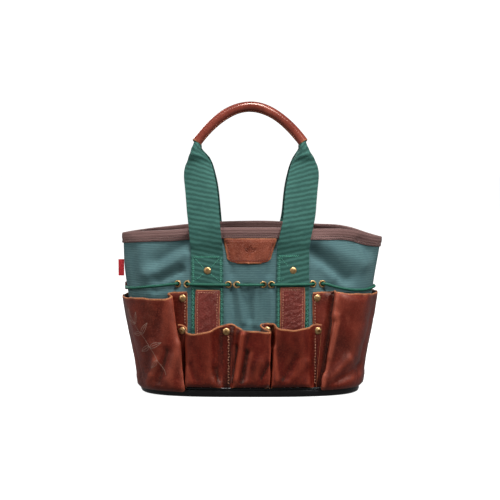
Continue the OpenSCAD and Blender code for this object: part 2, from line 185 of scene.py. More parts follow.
def lumps(p, size, seed):
    """Smooth noise from -1 to 1 at points p, made of a few waves in fixed directions."""
    rng = np.random.default_rng(seed)
    total = 0
    for _ in range(7):
        way = unit(rng.normal(size=3))
        total = total + np.sin(p @ way * 2 * math.pi / (size * rng.uniform(0.7, 1.5)) + rng.uniform(0, 6.28))
    return total / 3.2


def spline_at(knots, place):
    """Catmull-Rom values at fractional knot numbers."""
    knots = np.asarray(knots, float)
    i = np.minimum(place.astype(int), len(knots) - 2)
    f = (place - i)[:, None]
    a, b = knots[np.maximum(i - 1, 0)], knots[i]
    c, d = knots[i + 1], knots[np.minimum(i + 2, len(knots) - 1)]
    return (2 * b + f * (c - a) + f**2 * (2 * a - 5 * b + 4 * c - d) + f**3 * (3 * b - a - 3 * c + d)) / 2


def spline(knots, count):
    """count points along a Catmull-Rom curve through the knots, evenly by knot."""
    return spline_at(knots, np.linspace(0, len(knots) - 1, count))


def by_length(points, count=None, step=None):
    """Points evenly spaced along a line of points."""
    s = run_along(points)
    if count is None:
        count = max(2, int(round(s[-1] / step)) + 1)
    at = np.linspace(0, s[-1], count)
    return np.stack([np.interp(at, s, points[:, k]) for k in range(points.shape[1])], -1)


def grid_normals(p):
    """Unit normals of a grid of points, whose rows go up and whose columns go right seen from outside."""
    return unit(np.cross(np.gradient(p, axis=1), np.gradient(p, axis=0)))


# ---------------------------------------------------------------- gathering meshes
class Shape:
    """Points, faces, the UVs of face corners in millimetres, and two values at each point.

    The first value runs from -1 in a fold, where it paints shade, to 1 where leather is rubbed pale at its
    edges and where a bulge is pulled pale with a painted highlight. Band is the depth of a pressed mark. On
    webbing it is the length that the stripes follow.
    """

    def __init__(self):
        self.points, self.faces, self.uvs, self.slots, self.wear, self.band = [], [], [], [], [], []
        self.count = 0

    def add(self, points, quads, corner_uvs, slot, wear=0.0, band=0.0):
        points = np.asarray(points, float).reshape(-1, 3)
        self.points.append(points)
        self.faces.append(np.asarray(quads) + self.count)
        self.uvs.append(np.asarray(corner_uvs, float).reshape(len(quads), 4, 2))
        self.slots.append(np.full(len(quads), slot))
        self.wear.append(np.broadcast_to(np.asarray(wear, float).ravel(), len(points)))
        self.band.append(np.broadcast_to(np.asarray(band, float).ravel(), len(points)))
        self.count += len(points)

    def merge(self, other):
        """Takes in all of another shape."""
        for points, faces, uvs, slots in zip(other.points, other.faces, other.uvs, other.slots):
            self.add(points, faces - faces.min(), uvs, slots[0])

    def grid(self, p, uv=None, slot=0, wrap=False, flip=False, wear=0.0, band=0.0):
        """A sheet of faces over a grid of points. With wrap, its last column joins its first."""
        rows, cols = p.shape[:2]
        if uv is None:
            uv = np.stack(np.meshgrid(np.arange(cols + 1.0), np.arange(float(rows))), -1)
        i, j = np.meshgrid(np.arange(rows - 1), np.arange(cols if wrap else cols - 1), indexing="ij")
        i, j = i.ravel(), j.ravel()
        k = (j + 1) % cols
        quads = np.stack([i * cols + j, i * cols + k, (i + 1) * cols + k, (i + 1) * cols + j], -1)
        corners = np.stack([uv[i, j], uv[i, j + 1], uv[i + 1, j + 1], uv[i + 1, j]], 1)
        if flip:
            quads, corners = quads[:, ::-1], corners[:, ::-1]
        wear, band = np.broadcast_to(wear, (rows, cols)), np.broadcast_to(band, (rows, cols))
        self.add(p, quads, corners, slot, wear, band)

    def fan(self, row, centre, slot=0, flip=False):
        """Closes a round row of points at a centre."""
        self.grid(np.stack([row, np.repeat([centre], len(row), 0)]), None, slot, wrap=True, flip=flip)

    def slab(
        self, p, thick, uv=None, slot=0, edge=1, round_by=0.35, wear=0.0, band=0.0, back=None, swell=None,
    ):
        """A sheet with its outer face at p, thick inwards.

        Its edges bulge by a share of the thickness, which swell can set for a side: t, b, l or r.
        """
        inner = p - grid_normals(p) * thick
        if uv is None:
            uv = np.stack([p[..., 0], p[..., 2]], -1)
        self.grid(p, uv, slot, wear=wear, band=band)
        self.grid(inner, uv, slot if back is None else back, flip=True, wear=wear, band=band)
        wear, band = np.broadcast_to(wear, p.shape[:2]), np.broadcast_to(band, p.shape[:2])
        every = slice(None)
        turns = np.linspace(0, math.pi, 5)[:, None, None]
        for side, at, beside in (
            ("t", (-1, every), (-2, every)), ("b", (0, every), (1, every)),
            ("l", (every, 0), (every, 1)), ("r", (every, -1), (every, -2)),
        ):
            bulge = thick * (swell or {}).get(side, round_by)
            middle, half = (p[at] + inner[at]) / 2, (p[at] - inner[at]) / 2
            rim = middle + half * np.cos(turns) + unit(p[at] - p[beside]) * np.sin(turns) * bulge
            rim_uv = np.repeat(uv[at][None], 5, 0)
            self.grid(rim, rim_uv, edge, flip=side in "br", wear=wear[at], band=band[at])

    def tube(self, line, radius, sides=12, loop=False):
        """A round tube along a line of points. Radius may vary along it."""
        ahead = unit(np.roll(line, -1, 0) - np.roll(line, 1, 0) if loop else np.gradient(line, axis=0))
        up = np.zeros_like(line)
        last = np.array([0, 0, 1.0])
        for i, u in enumerate(ahead):
            last = unit(last - u * (last @ u))
            up[i] = last
        side = np.cross(ahead, up)
        turn = np.linspace(0, 2 * math.pi, sides, endpoint=False)
        radius = np.broadcast_to(radius, len(line))[:, None, None]
        c, s = np.cos(turn)[:, None], np.sin(turn)[:, None]
        p = line[:, None] + radius * (side[:, None] * c + up[:, None] * s)
        round_it = np.arange(sides + 1.0)[None] * 2 * math.pi / sides
        uv = np.stack(np.broadcast_arrays(round_it, run_along(line)[:, None]), -1)
        if loop:
            p = np.concatenate([p, p[:1]])
            uv = np.concatenate([uv, uv[-1:] + [0, np.linalg.norm(line[0] - line[-1])]])
        self.grid(p, uv, wrap=True, flip=True)
        if not loop:
            self.fan(p[0], line[0])
            self.fan(p[-1], line[-1], flip=True)

    def lathe(self, profile, centre, axis, sides=28, slot=0):
        """A profile of [radius, distance along the axis] turned about an axis."""
        axis = unit(np.asarray(axis, float))
        a = unit(np.cross(axis, [0, 0, 1.0]))
        b = np.cross(axis, a)
        turn = np.linspace(0, 2 * math.pi, sides, endpoint=False)[None, :, None]
        r, h = np.array(profile, float).T[..., None, None]
        self.grid(centre + r * (a * np.cos(turn) + b * np.sin(turn)) + h * axis, None, slot, wrap=True)

    def stitch(self, a, b, up, radius, slot):
        """One stitch: a short length of thread that rises out of the surface and dips back into it."""
        t = np.array([0, 0.1, 0.3, 0.7, 0.9, 1.0])[:, None]
        line = a + (b - a) * t + up * radius * np.array([-0.7, 0.15, 0.5, 0.5, 0.15, -0.7])[:, None]
        side = np.cross(unit(b - a), up)
        turn = np.linspace(0, 2 * math.pi, 6, endpoint=False)[:, None]
        swell = radius * np.array([0.35, 0.8, 1, 1, 0.8, 0.35])[:, None, None]
        p = line[:, None] + swell * (side * np.cos(turn) + up * np.sin(turn))
        self.grid(p, None, slot, wrap=True, flip=True)

    def seam(self, line, normals, pitch, radius, slot, share=0.72, zigzag=0.0):
        """A slightly uneven row of stitches on a surface. Each one fills its share of the pitch."""
        both = by_length(np.hstack([line, normals]), step=pitch / 8)
        rng = np.random.default_rng(len(both))
        for n, i in enumerate(range(0, len(both) - 8, 8)):
            a, b = both[i], both[i + int(round(8 * share))]
            up = unit(a[3:])
            side = np.cross(unit(b[:3] - a[:3]), up)
            shift = side * zigzag * (1 if n % 2 else -1)
            stray = side * rng.normal(0, 0.12)
            self.stitch(a[:3] - shift + stray, b[:3] + shift + stray, up, radius, slot)

    def mirrored(self):
        """The same shape on the back of the bag."""
        other = Shape()
        other.points = [p * TO_BACK for p in self.points]
        other.faces = [f[:, ::-1] for f in self.faces]
        other.uvs = [u[:, ::-1] for u in self.uvs]
        other.slots, other.wear, other.band, other.count = self.slots, self.wear, self.band, self.count
        return other

    def build(self, name, materials, sharp=40):
        """The Blender object, in metres, with its hard edges kept sharp."""
        points, faces = np.concatenate(self.points) * MM, np.concatenate(self.faces)
        mesh = bpy.data.meshes.new(name)
        mesh.from_pydata(points.tolist(), [], faces.tolist())
        layer = mesh.uv_layers.new(name="mm")
        layer.data.foreach_set("uv", np.concatenate(self.uvs).ravel().astype(np.float32))
        for key, values in (("wear", self.wear), ("band", self.band)):
            attribute = mesh.attributes.new(key, "FLOAT", "POINT")
            attribute.data.foreach_set("value", np.concatenate(values).astype(np.float32))
        mesh.polygons.foreach_set("material_index", np.concatenate(self.slots).astype(np.int32))
        mesh.polygons.foreach_set("use_smooth", np.ones(len(faces), bool))
        for material in materials:
            mesh.materials.append(material)
        mesh.validate(clean_customdata=False)
        mesh.update()
        mesh.set_sharp_from_angle(angle=math.radians(sharp))
        piece = bpy.data.objects.new(name, mesh)
        bpy.context.scene.collection.objects.link(piece)
        return piece


def place(shape, name, materials, slot, nodes, body="bag", sharp=40):
    """Builds a piece that rides on a body and stands for CAD nodes."""
    piece = shape.build(name, materials, sharp)
    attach(piece, body)
    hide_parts(*nodes)


def place_both(shape, name, materials, slot, node, on_handle=False):
    """The same piece on the front and on the back, riding on the bag or on that side's handle."""
    for side, made in (("front", shape), ("back", shape.mirrored())):
        body = side + "_handle" if on_handle else "bag"
        place(made, side + "_" + name, materials, slot, [side + "_" + node], body)


# ---------------------------------------------------------------- materials
def rgb(r, g, b):
    """A colour given in sRGB from 0 to 255, as the linear colour that nodes use."""
    def linear(v):
        v /= 255
        return v / 12.92 if v <= 0.04045 else ((v + 0.055) / 1.055) ** 2.4
    return (linear(r), linear(g), linear(b), 1.0)


class Nodes:
    """A material's node tree, with short calls for the nodes used here. Lengths are in millimetres."""

    def __init__(self, name, roughness, **sockets):
        self.material = bpy.data.materials.new(name)
        self.material.use_nodes = True
        self.tree = self.material.node_tree
        self.shader = next(n for n in self.tree.nodes if n.type == "BSDF_PRINCIPLED")
        self.shader.inputs["Roughness"].default_value = roughness
        for key, value in sockets.items():
            self.shader.inputs[key.replace("_", " ")].default_value = value
        self.bumps = None

    def node(self, kind, links=(), **settings):
        made = self.tree.nodes.new(kind)
        for key, value in settings.items():
            setattr(made, key, value)
        for socket, value in dict(links).items():
            if isinstance(value, bpy.types.NodeSocket):
                self.tree.links.new(value, made.inputs[socket])
            else:
                made.inputs[socket].default_value = value
        return made

    def place(self, stretch=(1, 1, 1)):
        """Position in millimetres, each axis divided by its stretch."""
        coords = self.node("ShaderNodeTexCoord").outputs["Object"]
        scale = [1000 / s for s in stretch]
        return self.node("ShaderNodeMapping", {"Vector": coords, "Scale": scale}).outputs[0]

    def uv(self, stretch=(1, 1, 1)):
        """The sheet's own lengths in millimetres, each divided by its stretch."""
        coords = self.node("ShaderNodeUVMap", uv_map="mm").outputs[0]
        scale = [1 / s for s in stretch]
        return self.node("ShaderNodeMapping", {"Vector": coords, "Scale": scale}).outputs[0]

    def value(self, name):
        """A named value of the mesh: wear with its painted shade and highlight, or the band."""
        return self.node("ShaderNodeAttribute", attribute_name=name).outputs["Fac"]

    def noise(self, vector, size, detail=3.0, rough=0.55, twist=0.0):
        return self.node("ShaderNodeTexNoise", {
            "Vector": vector, "Scale": 1 / size, "Detail": detail, "Roughness": rough, "Distortion": twist,
        }).outputs[0]

    def cells(self, vector, size):
        """Distance to the nearest border between cells of about that size."""
        links = {"Vector": vector, "Scale": 1 / size}
        return self.node("ShaderNodeTexVoronoi", links, feature="DISTANCE_TO_EDGE").outputs["Distance"]

    def math(self, kind, a, b=0.0, c=0.0):
        return self.node("ShaderNodeMath", {0: a, 1: b, 2: c}, operation=kind).outputs[0]

    def span(self, value, low, high, to_low=0.0, to_high=1.0):
        """Value from low to high becomes to_low to to_high, smoothly."""
        links = {0: value, 1: low, 2: high, 3: to_low, 4: to_high}
        return self.node("ShaderNodeMapRange", links, interpolation_type="SMOOTHSTEP").outputs[0]

    def mix(self, share, a, b):
        return self.node("ShaderNodeMix", {0: share, 6: a, 7: b}, data_type="RGBA").outputs[2]

    def between(self, value, low, high, a, b):
        """Colour a where the value is low, colour b where it is high."""
        return self.mix(self.span(value, low, high), a, b)

    def tint(self, colour, value, low, high, share, other):
        """A colour moved by up to that share towards another, as the value goes from low to high."""
        return self.mix(self.span(value, low, high, 0.0, share), colour, other)

    def wave(self, value, pitch):
        """0 to 1 and back over each pitch of a length."""
        turned = self.math("SINE", self.math("MULTIPLY", value, 2 * math.pi / pitch))
        return self.math("MULTIPLY_ADD", turned, 0.5, 0.5)

    def part(self, vector, axis):
        return self.node("ShaderNodeSeparateXYZ", {0: vector}).outputs[axis]

    def bump(self, height, depth):
        """Adds relief of that depth in millimetres."""
        links = {"Height": height, "Distance": depth * MM, "Strength": 1.0}
        if self.bumps is not None:
            links["Normal"] = self.bumps
        self.bumps = self.node("ShaderNodeBump", links).outputs[0]

    def finish(self, colour, roughness=None):
        links = self.tree.links
        links.new(colour, self.shader.inputs["Base Color"])
        if roughness is not None:
            links.new(roughness, self.shader.inputs["Roughness"])
        if self.bumps is not None:
            links.new(self.bumps, self.shader.inputs["Normal"])
        return self.material


def leather(name, dark, mid, light, gloss, shine, seed=0.0, grain=0.06, creased=0.22):
    """Oiled pull-up leather: cloudy colour that pales where it is pulled, with a painted highlight on its
    ridges and painted shade in its folds, fine grain and a waxed gloss.
    """
    n = Nodes(name, gloss, Specular_IOR_Level=shine, Specular_Tint=(1, 0.7, 0.6, 1))
    shift = (seed, seed * 2, seed * 3)
    at = n.node("ShaderNodeVectorMath", {0: n.place(), 1: shift}, operation="ADD").outputs[0]
    upright = n.place((1, 1, 3.2))
    clouds = n.noise(at, 42, 2, 0.4, 0.2)
    streaks = n.noise(upright, 12, 2, 0.5, 0.3)
    fine = n.noise(at, 1.1, 4, 0.7)
    tone = n.math("MULTIPLY_ADD", clouds, 0.6, n.math("MULTIPLY", streaks, 0.4))
    colour = n.between(tone, 0.30, 0.62, dark, mid)
    # The leather pales where it is rubbed and where it is pulled over a bulge, and the ridges get a painted
    # highlight.
    rubbed_pulled_and_highlit = n.math("MULTIPLY", n.math("MAXIMUM", n.value("wear"), 0.0), n.span(streaks, 0.3, 0.7, 0.6, 1.0))
    patches = n.math("MAXIMUM", n.span(tone, 0.56, 0.78, 0.0, 0.45), rubbed_pulled_and_highlit)
    colour = n.mix(patches, colour, light)
    # Painted shade: the leather is darkened towards near black in its folds.
    colour = n.mix(n.span(n.value("wear"), -0.1, -0.9, 0.0, 0.8), colour, rgb(18, 5, 3))
    colour = n.tint(colour, fine, 0.52, 0.32, 0.65, dark)
    colour = n.mix(n.span(n.noise(at, 1.7, 4, 0.7, 0.8), 0.48, 0.66, 0.0, 0.32), colour, light)
    colour = n.mix(n.math("MULTIPLY", n.value("band"), 0.75), colour, dark)
    pores = n.cells(at, 1.5)
    wrinkles = n.noise(n.place((1, 1, 0.45)), 4.2, 3, 0.6, 1.2)
    n.bump(n.span(pores, 0.0, 0.22), grain)
    n.bump(fine, grain * 1.2)
    n.bump(wrinkles, creased)
    rough = n.math("MULTIPLY_ADD", clouds, 0.16, gloss - 0.12)
    return n.finish(colour, n.math("MULTIPLY_ADD", fine, 0.10, rough))


def cut_edge():
    """The raw tan edge of cut leather, fibrous and darker in places."""
    n = Nodes("cut_leather_edge", 0.75)
    at = n.place()
    fibres = n.noise(at, 0.7, 4, 0.7)
    stain = n.noise(at, 9, 3)
    colour = n.between(fibres, 0.35, 0.7, rgb(128, 66, 36), rgb(204, 132, 82))
    colour = n.tint(colour, stain, 0.45, 0.7, 0.75, rgb(84, 38, 24))
    n.bump(fibres, 0.15)
    return n.finish(colour)


def suede():
    """The rough flesh side of the leather, inside the pockets."""
    n = Nodes("leather_flesh_side", 0.9, Sheen_Weight=0.2)
    at = n.place()
    nap = n.noise(at, 0.9, 5, 0.75)
    clouds = n.noise(at, 22, 3)
    colour = n.between(nap, 0.3, 0.7, rgb(44, 22, 14), rgb(74, 40, 26))
    colour = n.tint(colour, clouds, 0.45, 0.7, 0.5, rgb(34, 17, 11))
    n.bump(nap, 0.2)
    return n.finish(colour)


def canvas():
    """Waxed green cotton canvas with fine horizontal ribs."""
    n = Nodes("green_canvas", 0.75, Sheen_Weight=0.05, Sheen_Roughness=0.5, Specular_IOR_Level=0.2)
    uv = n.uv()
    drift = n.math("MULTIPLY_ADD", n.noise(n.uv((22, 5, 1)), 1, 3), 2.4, n.part(uv, 1))
    ribs = n.wave(drift, 2.9)
    yarn = n.wave(n.part(uv, 0), 1.3)
    clouds = n.noise(uv, 26, 4, 0.6)
    slubs = n.noise(n.uv((7, 0.9, 1)), 1, 3, 0.65)
    weave = n.math("MULTIPLY_ADD", ribs, 0.65, n.math("MULTIPLY", yarn, 0.35))
    colour = n.between(weave, 0.0, 1.0, rgb(72, 102, 104), rgb(86, 119, 121))
    colour = n.tint(colour, slubs, 0.5, 0.78, 0.5, rgb(110, 146, 146))
    colour = n.tint(colour, slubs, 0.45, 0.28, 0.4, rgb(52, 82, 85))
    colour = n.tint(colour, clouds, 0.42, 0.68, 0.4, rgb(66, 98, 103))
    n.bump(ribs, 0.045)
    n.bump(yarn, 0.04)
    n.bump(slubs, 0.1)
    return n.finish(colour)


def lining():
    """Plain black cotton."""
    n = Nodes("dark_lining", 0.9, Specular_IOR_Level=0.1)
    uv = n.uv()
    weave = n.math("MULTIPLY", n.wave(n.part(uv, 0), 0.9), n.wave(n.part(uv, 1), 0.9))
    clouds = n.noise(uv, 24, 3)
    colour = n.between(weave, 0.1, 0.7, rgb(16, 17, 19), rgb(34, 35, 38))
    colour = n.tint(colour, clouds, 0.4, 0.7, 0.4, rgb(12, 13, 15))
    n.bump(weave, 0.08)
    return n.finish(colour)


def webbing():
    """Green cotton webbing with a soft band at every few rows of its weave."""
    n = Nodes("green_webbing", 0.75, Sheen_Weight=0.05, Sheen_Roughness=0.45, Specular_IOR_Level=0.2)
    uv = n.uv()
    drift = n.math("MULTIPLY_ADD", n.noise(n.uv((9, 16, 1)), 1, 3), 3.0, n.value("band"))
    bands = n.wave(drift, 6.4)
    picks = n.wave(drift, 1.5)
    ends = n.wave(n.part(uv, 0), 1.1)
    weave = n.math("MULTIPLY", picks, ends)
    clouds = n.noise(uv, 15, 4, 0.6)
    # The bands darken towards their valleys: painted shade of the woven ribs.
    colour = n.between(bands, 0.1, 0.95, rgb(34, 70, 63), rgb(57, 102, 93))
    colour = n.tint(colour, weave, 0.1, 0.9, 0.6, rgb(74, 126, 114))
    colour = n.tint(colour, clouds, 0.45, 0.7, 0.45, rgb(38, 78, 72))
    n.bump(bands, 0.13)
    n.bump(weave, 0.12)
    return n.finish(colour)


def woven_tape():
    """The brown tape folded over the rim."""
    n = Nodes("brown_binding", 0.62, Sheen_Weight=0.2, Sheen_Roughness=0.4, Specular_IOR_Level=0.35)
    uv = n.uv()
    across = n.part(uv, 0)
    up = n.part(uv, 1)
    twill = n.wave(n.math("ADD", across, up), 1.5)
    rows = n.wave(up, 3.4)
    clouds = n.noise(n.uv((18, 3, 1)), 1, 3)
    colour = n.between(twill, 0.1, 0.9, rgb(84, 56, 52), rgb(134, 100, 95))
    colour = n.tint(colour, rows, 0.5, 0.95, 0.35, rgb(88, 60, 56))
    colour = n.tint(colour, clouds, 0.45, 0.7, 0.45, rgb(108, 78, 74))
    n.bump(twill, 0.16)
    n.bump(rows, 0.16)
    return n.finish(colour)


def braid():
    """The elastic cord's braided cover."""
    n = Nodes("green_elastic", 0.5, Specular_IOR_Level=0.3)
    uv = n.uv()
    turned, along = n.part(uv, 0), n.part(uv, 1)
    pitch = math.pi / 2
    strands = n.math("MULTIPLY", n.wave(n.math("ADD", turned, along), pitch),
                     n.wave(n.math("SUBTRACT", turned, along), pitch))
    colour = n.between(strands, 0.0, 0.6, rgb(18, 72, 56), rgb(48, 120, 98))
    n.bump(strands, 0.18)
    return n.finish(colour)


def thread(name, dark, light):
    """Twisted sewing thread."""
    n = Nodes(name, 0.55, Sheen_Weight=0.2)
    plies = n.noise(n.place(), 0.6, 3)
    colour = n.between(plies, 0.3, 0.7, dark, light)
    n.bump(plies, 0.1)
    return n.finish(colour)


def old_brass():
    """Brass with cloudy tarnish and fine scratches."""
    n = Nodes("aged_brass", 0.36, Metallic=0.9)
    at = n.place()
    tarnish = n.noise(at, 3.2, 4, 0.6)
    scratches = n.noise(n.place((0.4, 4, 4)), 0.6, 3)
    colour = n.between(tarnish, 0.35, 0.7, rgb(208, 170, 118), rgb(146, 112, 72))
    colour = n.tint(colour, scratches, 0.55, 0.8, 0.4, rgb(228, 200, 156))
    n.bump(tarnish, 0.05)
    return n.finish(colour, n.span(tarnish, 0.3, 0.7, 0.3, 0.5))


def moulded_vinyl():
    """The base's glossy black vinyl, slightly rippled."""
    n = Nodes("black_vinyl", 0.26, Specular_IOR_Level=0.4)
    at = n.place()
    ripples = n.noise(n.place((3, 3, 1)), 8, 2)
    fine = n.noise(at, 0.8, 3)
    scuffs = n.noise(n.place((6, 6, 0.7)), 1.2, 4, 0.7)
    colour = n.between(scuffs, 0.5, 0.8, rgb(6, 6, 8), rgb(16, 16, 19))
    n.bump(ripples, 0.5)
    n.bump(fine, 0.04)
    return n.finish(colour, n.span(scuffs, 0.35, 0.75, 0.24, 0.46))


def hardboard():
    """The board that stiffens the bottom."""
    n = Nodes("stiffening_board", 0.8)
    fibres = n.noise(n.place((1, 1, 0.2)), 1.6, 5, 0.7)
    n.bump(fibres, 0.1)
    return n.finish(n.between(fibres, 0.3, 0.7, rgb(84, 66, 48), rgb(120, 98, 74)))


def red_ribbon():
    """The side tag's plain weave, with no lettering."""
    n = Nodes("red_ribbon", 0.6, Sheen_Weight=0.2)
    uv = n.uv()
    weave = n.math("MULTIPLY", n.wave(n.part(uv, 0), 0.7), n.wave(n.part(uv, 1), 0.7))
    colour = n.between(weave, 0.1, 0.7, rgb(190, 22, 34), rgb(235, 52, 62))
    n.bump(weave, 0.1)
    return n.finish(colour)


POCKET = leather("pocket_leather", rgb(56, 8, 3), rgb(87, 13, 6), rgb(150, 64, 44), 0.36, 0.42)
END_POCKET = leather("end_pocket_leather", rgb(66, 14, 7), rgb(98, 26, 15), rgb(160, 78, 58), 0.36, 0.42,
                     seed=40)
PATCH = leather("patch_leather", rgb(78, 22, 18), rgb(116, 42, 36), rgb(172, 102, 92), 0.32, 0.55,
                seed=90, grain=0.14, creased=0.45)
BADGE = leather("badge_leather", rgb(104, 40, 24), rgb(140, 68, 46), rgb(190, 116, 88), 0.36, 0.5,
                seed=140, grain=0.18, creased=0.55)
GRIP = leather("grip_leather", rgb(96, 34, 24), rgb(124, 54, 41), rgb(150, 78, 62), 0.24, 0.8,
               seed=200, grain=0.02, creased=0.05)
EDGE = cut_edge()
SUEDE = suede()
CANVAS = canvas()
LINING = lining()
WEBBING = webbing()
TAPE = woven_tape()
BRAID = braid()
TAN_THREAD = thread("tan_thread", rgb(150, 90, 62), rgb(206, 146, 112))
DARK_THREAD = thread("dark_thread", rgb(72, 28, 18), rgb(116, 52, 34))
GREEN_THREAD = thread("green_thread", rgb(40, 122, 98), rgb(88, 172, 146))
BROWN_THREAD = thread("brown_thread", rgb(52, 34, 32), rgb(96, 70, 64))
PALE_LINE = thread("scored_line", rgb(118, 82, 68), rgb(158, 120, 104))
BRASS = old_brass()
VINYL = moulded_vinyl()
BOARD = hardboard()
RIBBON = red_ribbon()


# ---------------------------------------------------------------- base
ROUND = np.arange(0, 360, 2.0)


def base_tray():
    """The moulded tray: a section of [distance outside the canvas, height] swept once round the plan."""
    out, lip, centre = TRAY_OFF, TRAY_OFF - TRAY_WALL, -34
    bottom_z = 0.4
    section = [
        (centre, bottom_z), (-6, bottom_z), (-2, 0), (out - 5, 0), (out - 2.2, 0.3), (out - 0.8, 1.1),
        (out - 0.1, 2.6), (out, 4.5), (out - 0.1, TRAY_H - 1.2), (out - 0.5, TRAY_H - 0.3),
        (out - 1.2, TRAY_H), (lip + 0.4, TRAY_H), (lip, TRAY_H - 0.5), (lip, TRAY_FLOOR), (centre, TRAY_FLOOR),
    ]
    p = np.array([ring(ROUND, 0, off) for off, z in section])
    p[..., 2] = np.array(section)[:, 1:]
    shape = Shape()
    shape.grid(p, None, wrap=True)
    shape.fan(p[0], [0, 0, bottom_z], flip=True)
    shape.fan(p[-1], [0, 0, TRAY_FLOOR])
    place(shape, "moulded_tray", [VINYL], "base_vinyl", ["base_tray"])


def base_welt():
    """The piping along the tray's top edge, slightly wavy."""
    shape = Shape()
    line = ring(ROUND, 0, WELT_OFF)
    turn = np.radians(ROUND)
    line[:, 2] = TRAY_H + AIR + WELT_D / 2 + 0.35 * np.sin(5 * turn + 0.6) * np.sin(3 * turn)
    shape.tube(line, WELT_D / 2 * (1 + 0.05 * np.sin(11 * turn)), sides=14, loop=True)
    place(shape, "piped_welt", [VINYL], "base_vinyl", ["base_welt"])


def base_board():
    """The stiffening board keeps its CAD shape and gets its material here."""
    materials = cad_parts["base_board"].data.materials
    materials.clear()
    materials.append(BOARD)


def floor_lining():
    """The cloth over the board, a little uneven."""
    shape = Shape()
    share = np.linspace(0.02, 1, 22)[:, None, None]
    p = ring(ROUND, 0, -WALL_T - 1)[None] * share
    under_z = FABRIC_Z + BOARD_T + AIR
    p[..., 2] = under_z + LINING_T + 0.25 * lumps(p, 40, 5) * (1 - share[..., 0] ** 6)
    uv = np.concatenate([p, p[:, :1]], 1)[..., :2]
    shape.grid(p[::-1], uv[::-1], wrap=True)
    under = p.copy()
    under[..., 2] = under_z
    shape.grid(under[::-1], uv[::-1], wrap=True, flip=True)
    shape.grid(np.stack([under[-1], p[-1]]), None, wrap=True)
    place(shape, "floor_cloth", [LINING], "lining", ["floor_lining"])


# ---------------------------------------------------------------- canvas, lining and binding
PINCH_DROP = 8.2


def panel(off, top_drop=0.0):
    """Grid of the front wall from the tray to the rim, with its lengths round the bag and up it."""
    angle = np.linspace(-90, 90, 241)
    top = rim_at(half_w(RIM_Z) * np.sin(np.radians(angle))) - top_drop
    z = FABRIC_Z + (top - FABRIC_Z) * np.linspace(0, 1, 104)[:, None]
    p = ring(angle[None], np.minimum(z, RIM_Z + 4), off)
    across = run_along(p[len(p) // 2 - 2])
    return p, np.stack([np.broadcast_to(across - across[-1] / 2, z.shape), p[..., 2]], -1)


def body_cloth():
    """A canvas panel and a lining panel on each side."""
    for name, material, slot, thick, off, top_drop in (
        ("canvas", CANVAS, "canvas", CANVAS_T, 0, 0),
        ("lining", LINING, "lining", LINING_T, -CANVAS_T - AIR, 0.5),
    ):
        shape = Shape()
        p, uv = panel(off, top_drop)
        shape.slab(p, thick, uv, 0, 0)
        place_both(shape, name + "_panel", [material], slot, name)


def binding_section(out, inn):
    """The folded tape's section from its outer hem: [distance outside the canvas, height above the rim]."""
    top = AIR + BINDING_T
    middle, half = (out + inn) / 2, (out - inn) / 2
    hem = -BINDING_H
    section = [(out - 0.5, hem + 0.1), (out - 0.1, hem), (out, hem + 0.4)]
    section += [(out, z) for z in (-11.2, -10.2, -9.2, -8.2, -7.2, -6.2, -4.8, -3, -1.6)]
    turns = np.linspace(0.1, math.pi - 0.1, 9)
    section += [(middle + half * math.cos(t), top - 1.6 + 1.6 * math.sin(t)) for t in turns]
    section += [(inn, z) for z in (-1.6, -4, -8, hem + 0.4)]
    section += [(inn + 0.1, hem), (inn + BINDING_T, hem), (inn + BINDING_T, -2), (inn + BINDING_T, AIR)]
    return section + [(out - BINDING_T, AIR), (out - BINDING_T, -2), (out - BINDING_T, hem + 0.2)]


def rim_binding():
    """Tape folded over the rim, puffed between its hem and the rows of stitches that hold it."""
    out, inn = BINDING_GAP + BINDING_T, -WALL_T - BINDING_GAP - BINDING_T
    section = binding_section(out, inn)
    angle = np.arange(-180, 180, 1.25)
    top_z = rim_at(half_w(RIM_Z) * np.sin(np.radians(angle)))
    rows = []
    for off, z in section:
        puff = 0.0
        if z < 0 and off > out - 0.6:
            puff = 0.4 * math.sin(math.pi * min(1, -z / BINDING_H)) - 0.55 * hump(z + PINCH_DROP, 1.3)
        p = ring(angle, np.minimum(top_z + min(0, z), RIM_Z + 4), off + puff)
        wave = 0.35 * lumps(p, 46, 12)
        p[:, 2] = top_z + z + (wave if z < -9 else 0.25 * wave)
        rows.append(p)
    girth = run_along(rows[5])
    girth = np.append(girth, girth[-1] + 2)
    width = run_along(np.array(section))
    uv = np.stack(np.broadcast_arrays(girth[None], np.append(width, width[-1] + 1)[:, None]), -1)
    shape = Shape()
    shape.grid(np.array(rows + rows[:1]), uv, wrap=True)
    angle = np.arange(-89, 89.1, 0.5)
    top_z = rim_at(half_w(RIM_Z) * np.sin(np.radians(angle)))
    for drop, lift in ((10.9, 0.3), (PINCH_DROP + 0.2, -0.05)):
        line = ring(angle, top_z - drop, out + lift)
        sewn = Shape()
        sewn.seam(line, ring(angle, top_z - drop, out + 1.3) - line, pitch=2.8, radius=0.42, slot=1)
        shape.merge(sewn)
        shape.merge(sewn.mirrored())
    place(shape, "folded_binding", [TAPE, BROWN_THREAD], "binding", ["rim_binding"], sharp=50)


# ---------------------------------------------------------------- leather badge
# Leaves of the pressed sprig: x and z of the stalk, direction and length.
LEAF = [(0.0, 0.0, 90, 11.5), (-0.6, 1.2, 140, 9.5), (0.6, 1.2, 40, 9.5)]
BADGE_X, BADGE_Z, BADGE_T = -2.4, 166, 1.8
BADGE_H = RIM_Z - BINDING_H - 0.6 - BADGE_Z


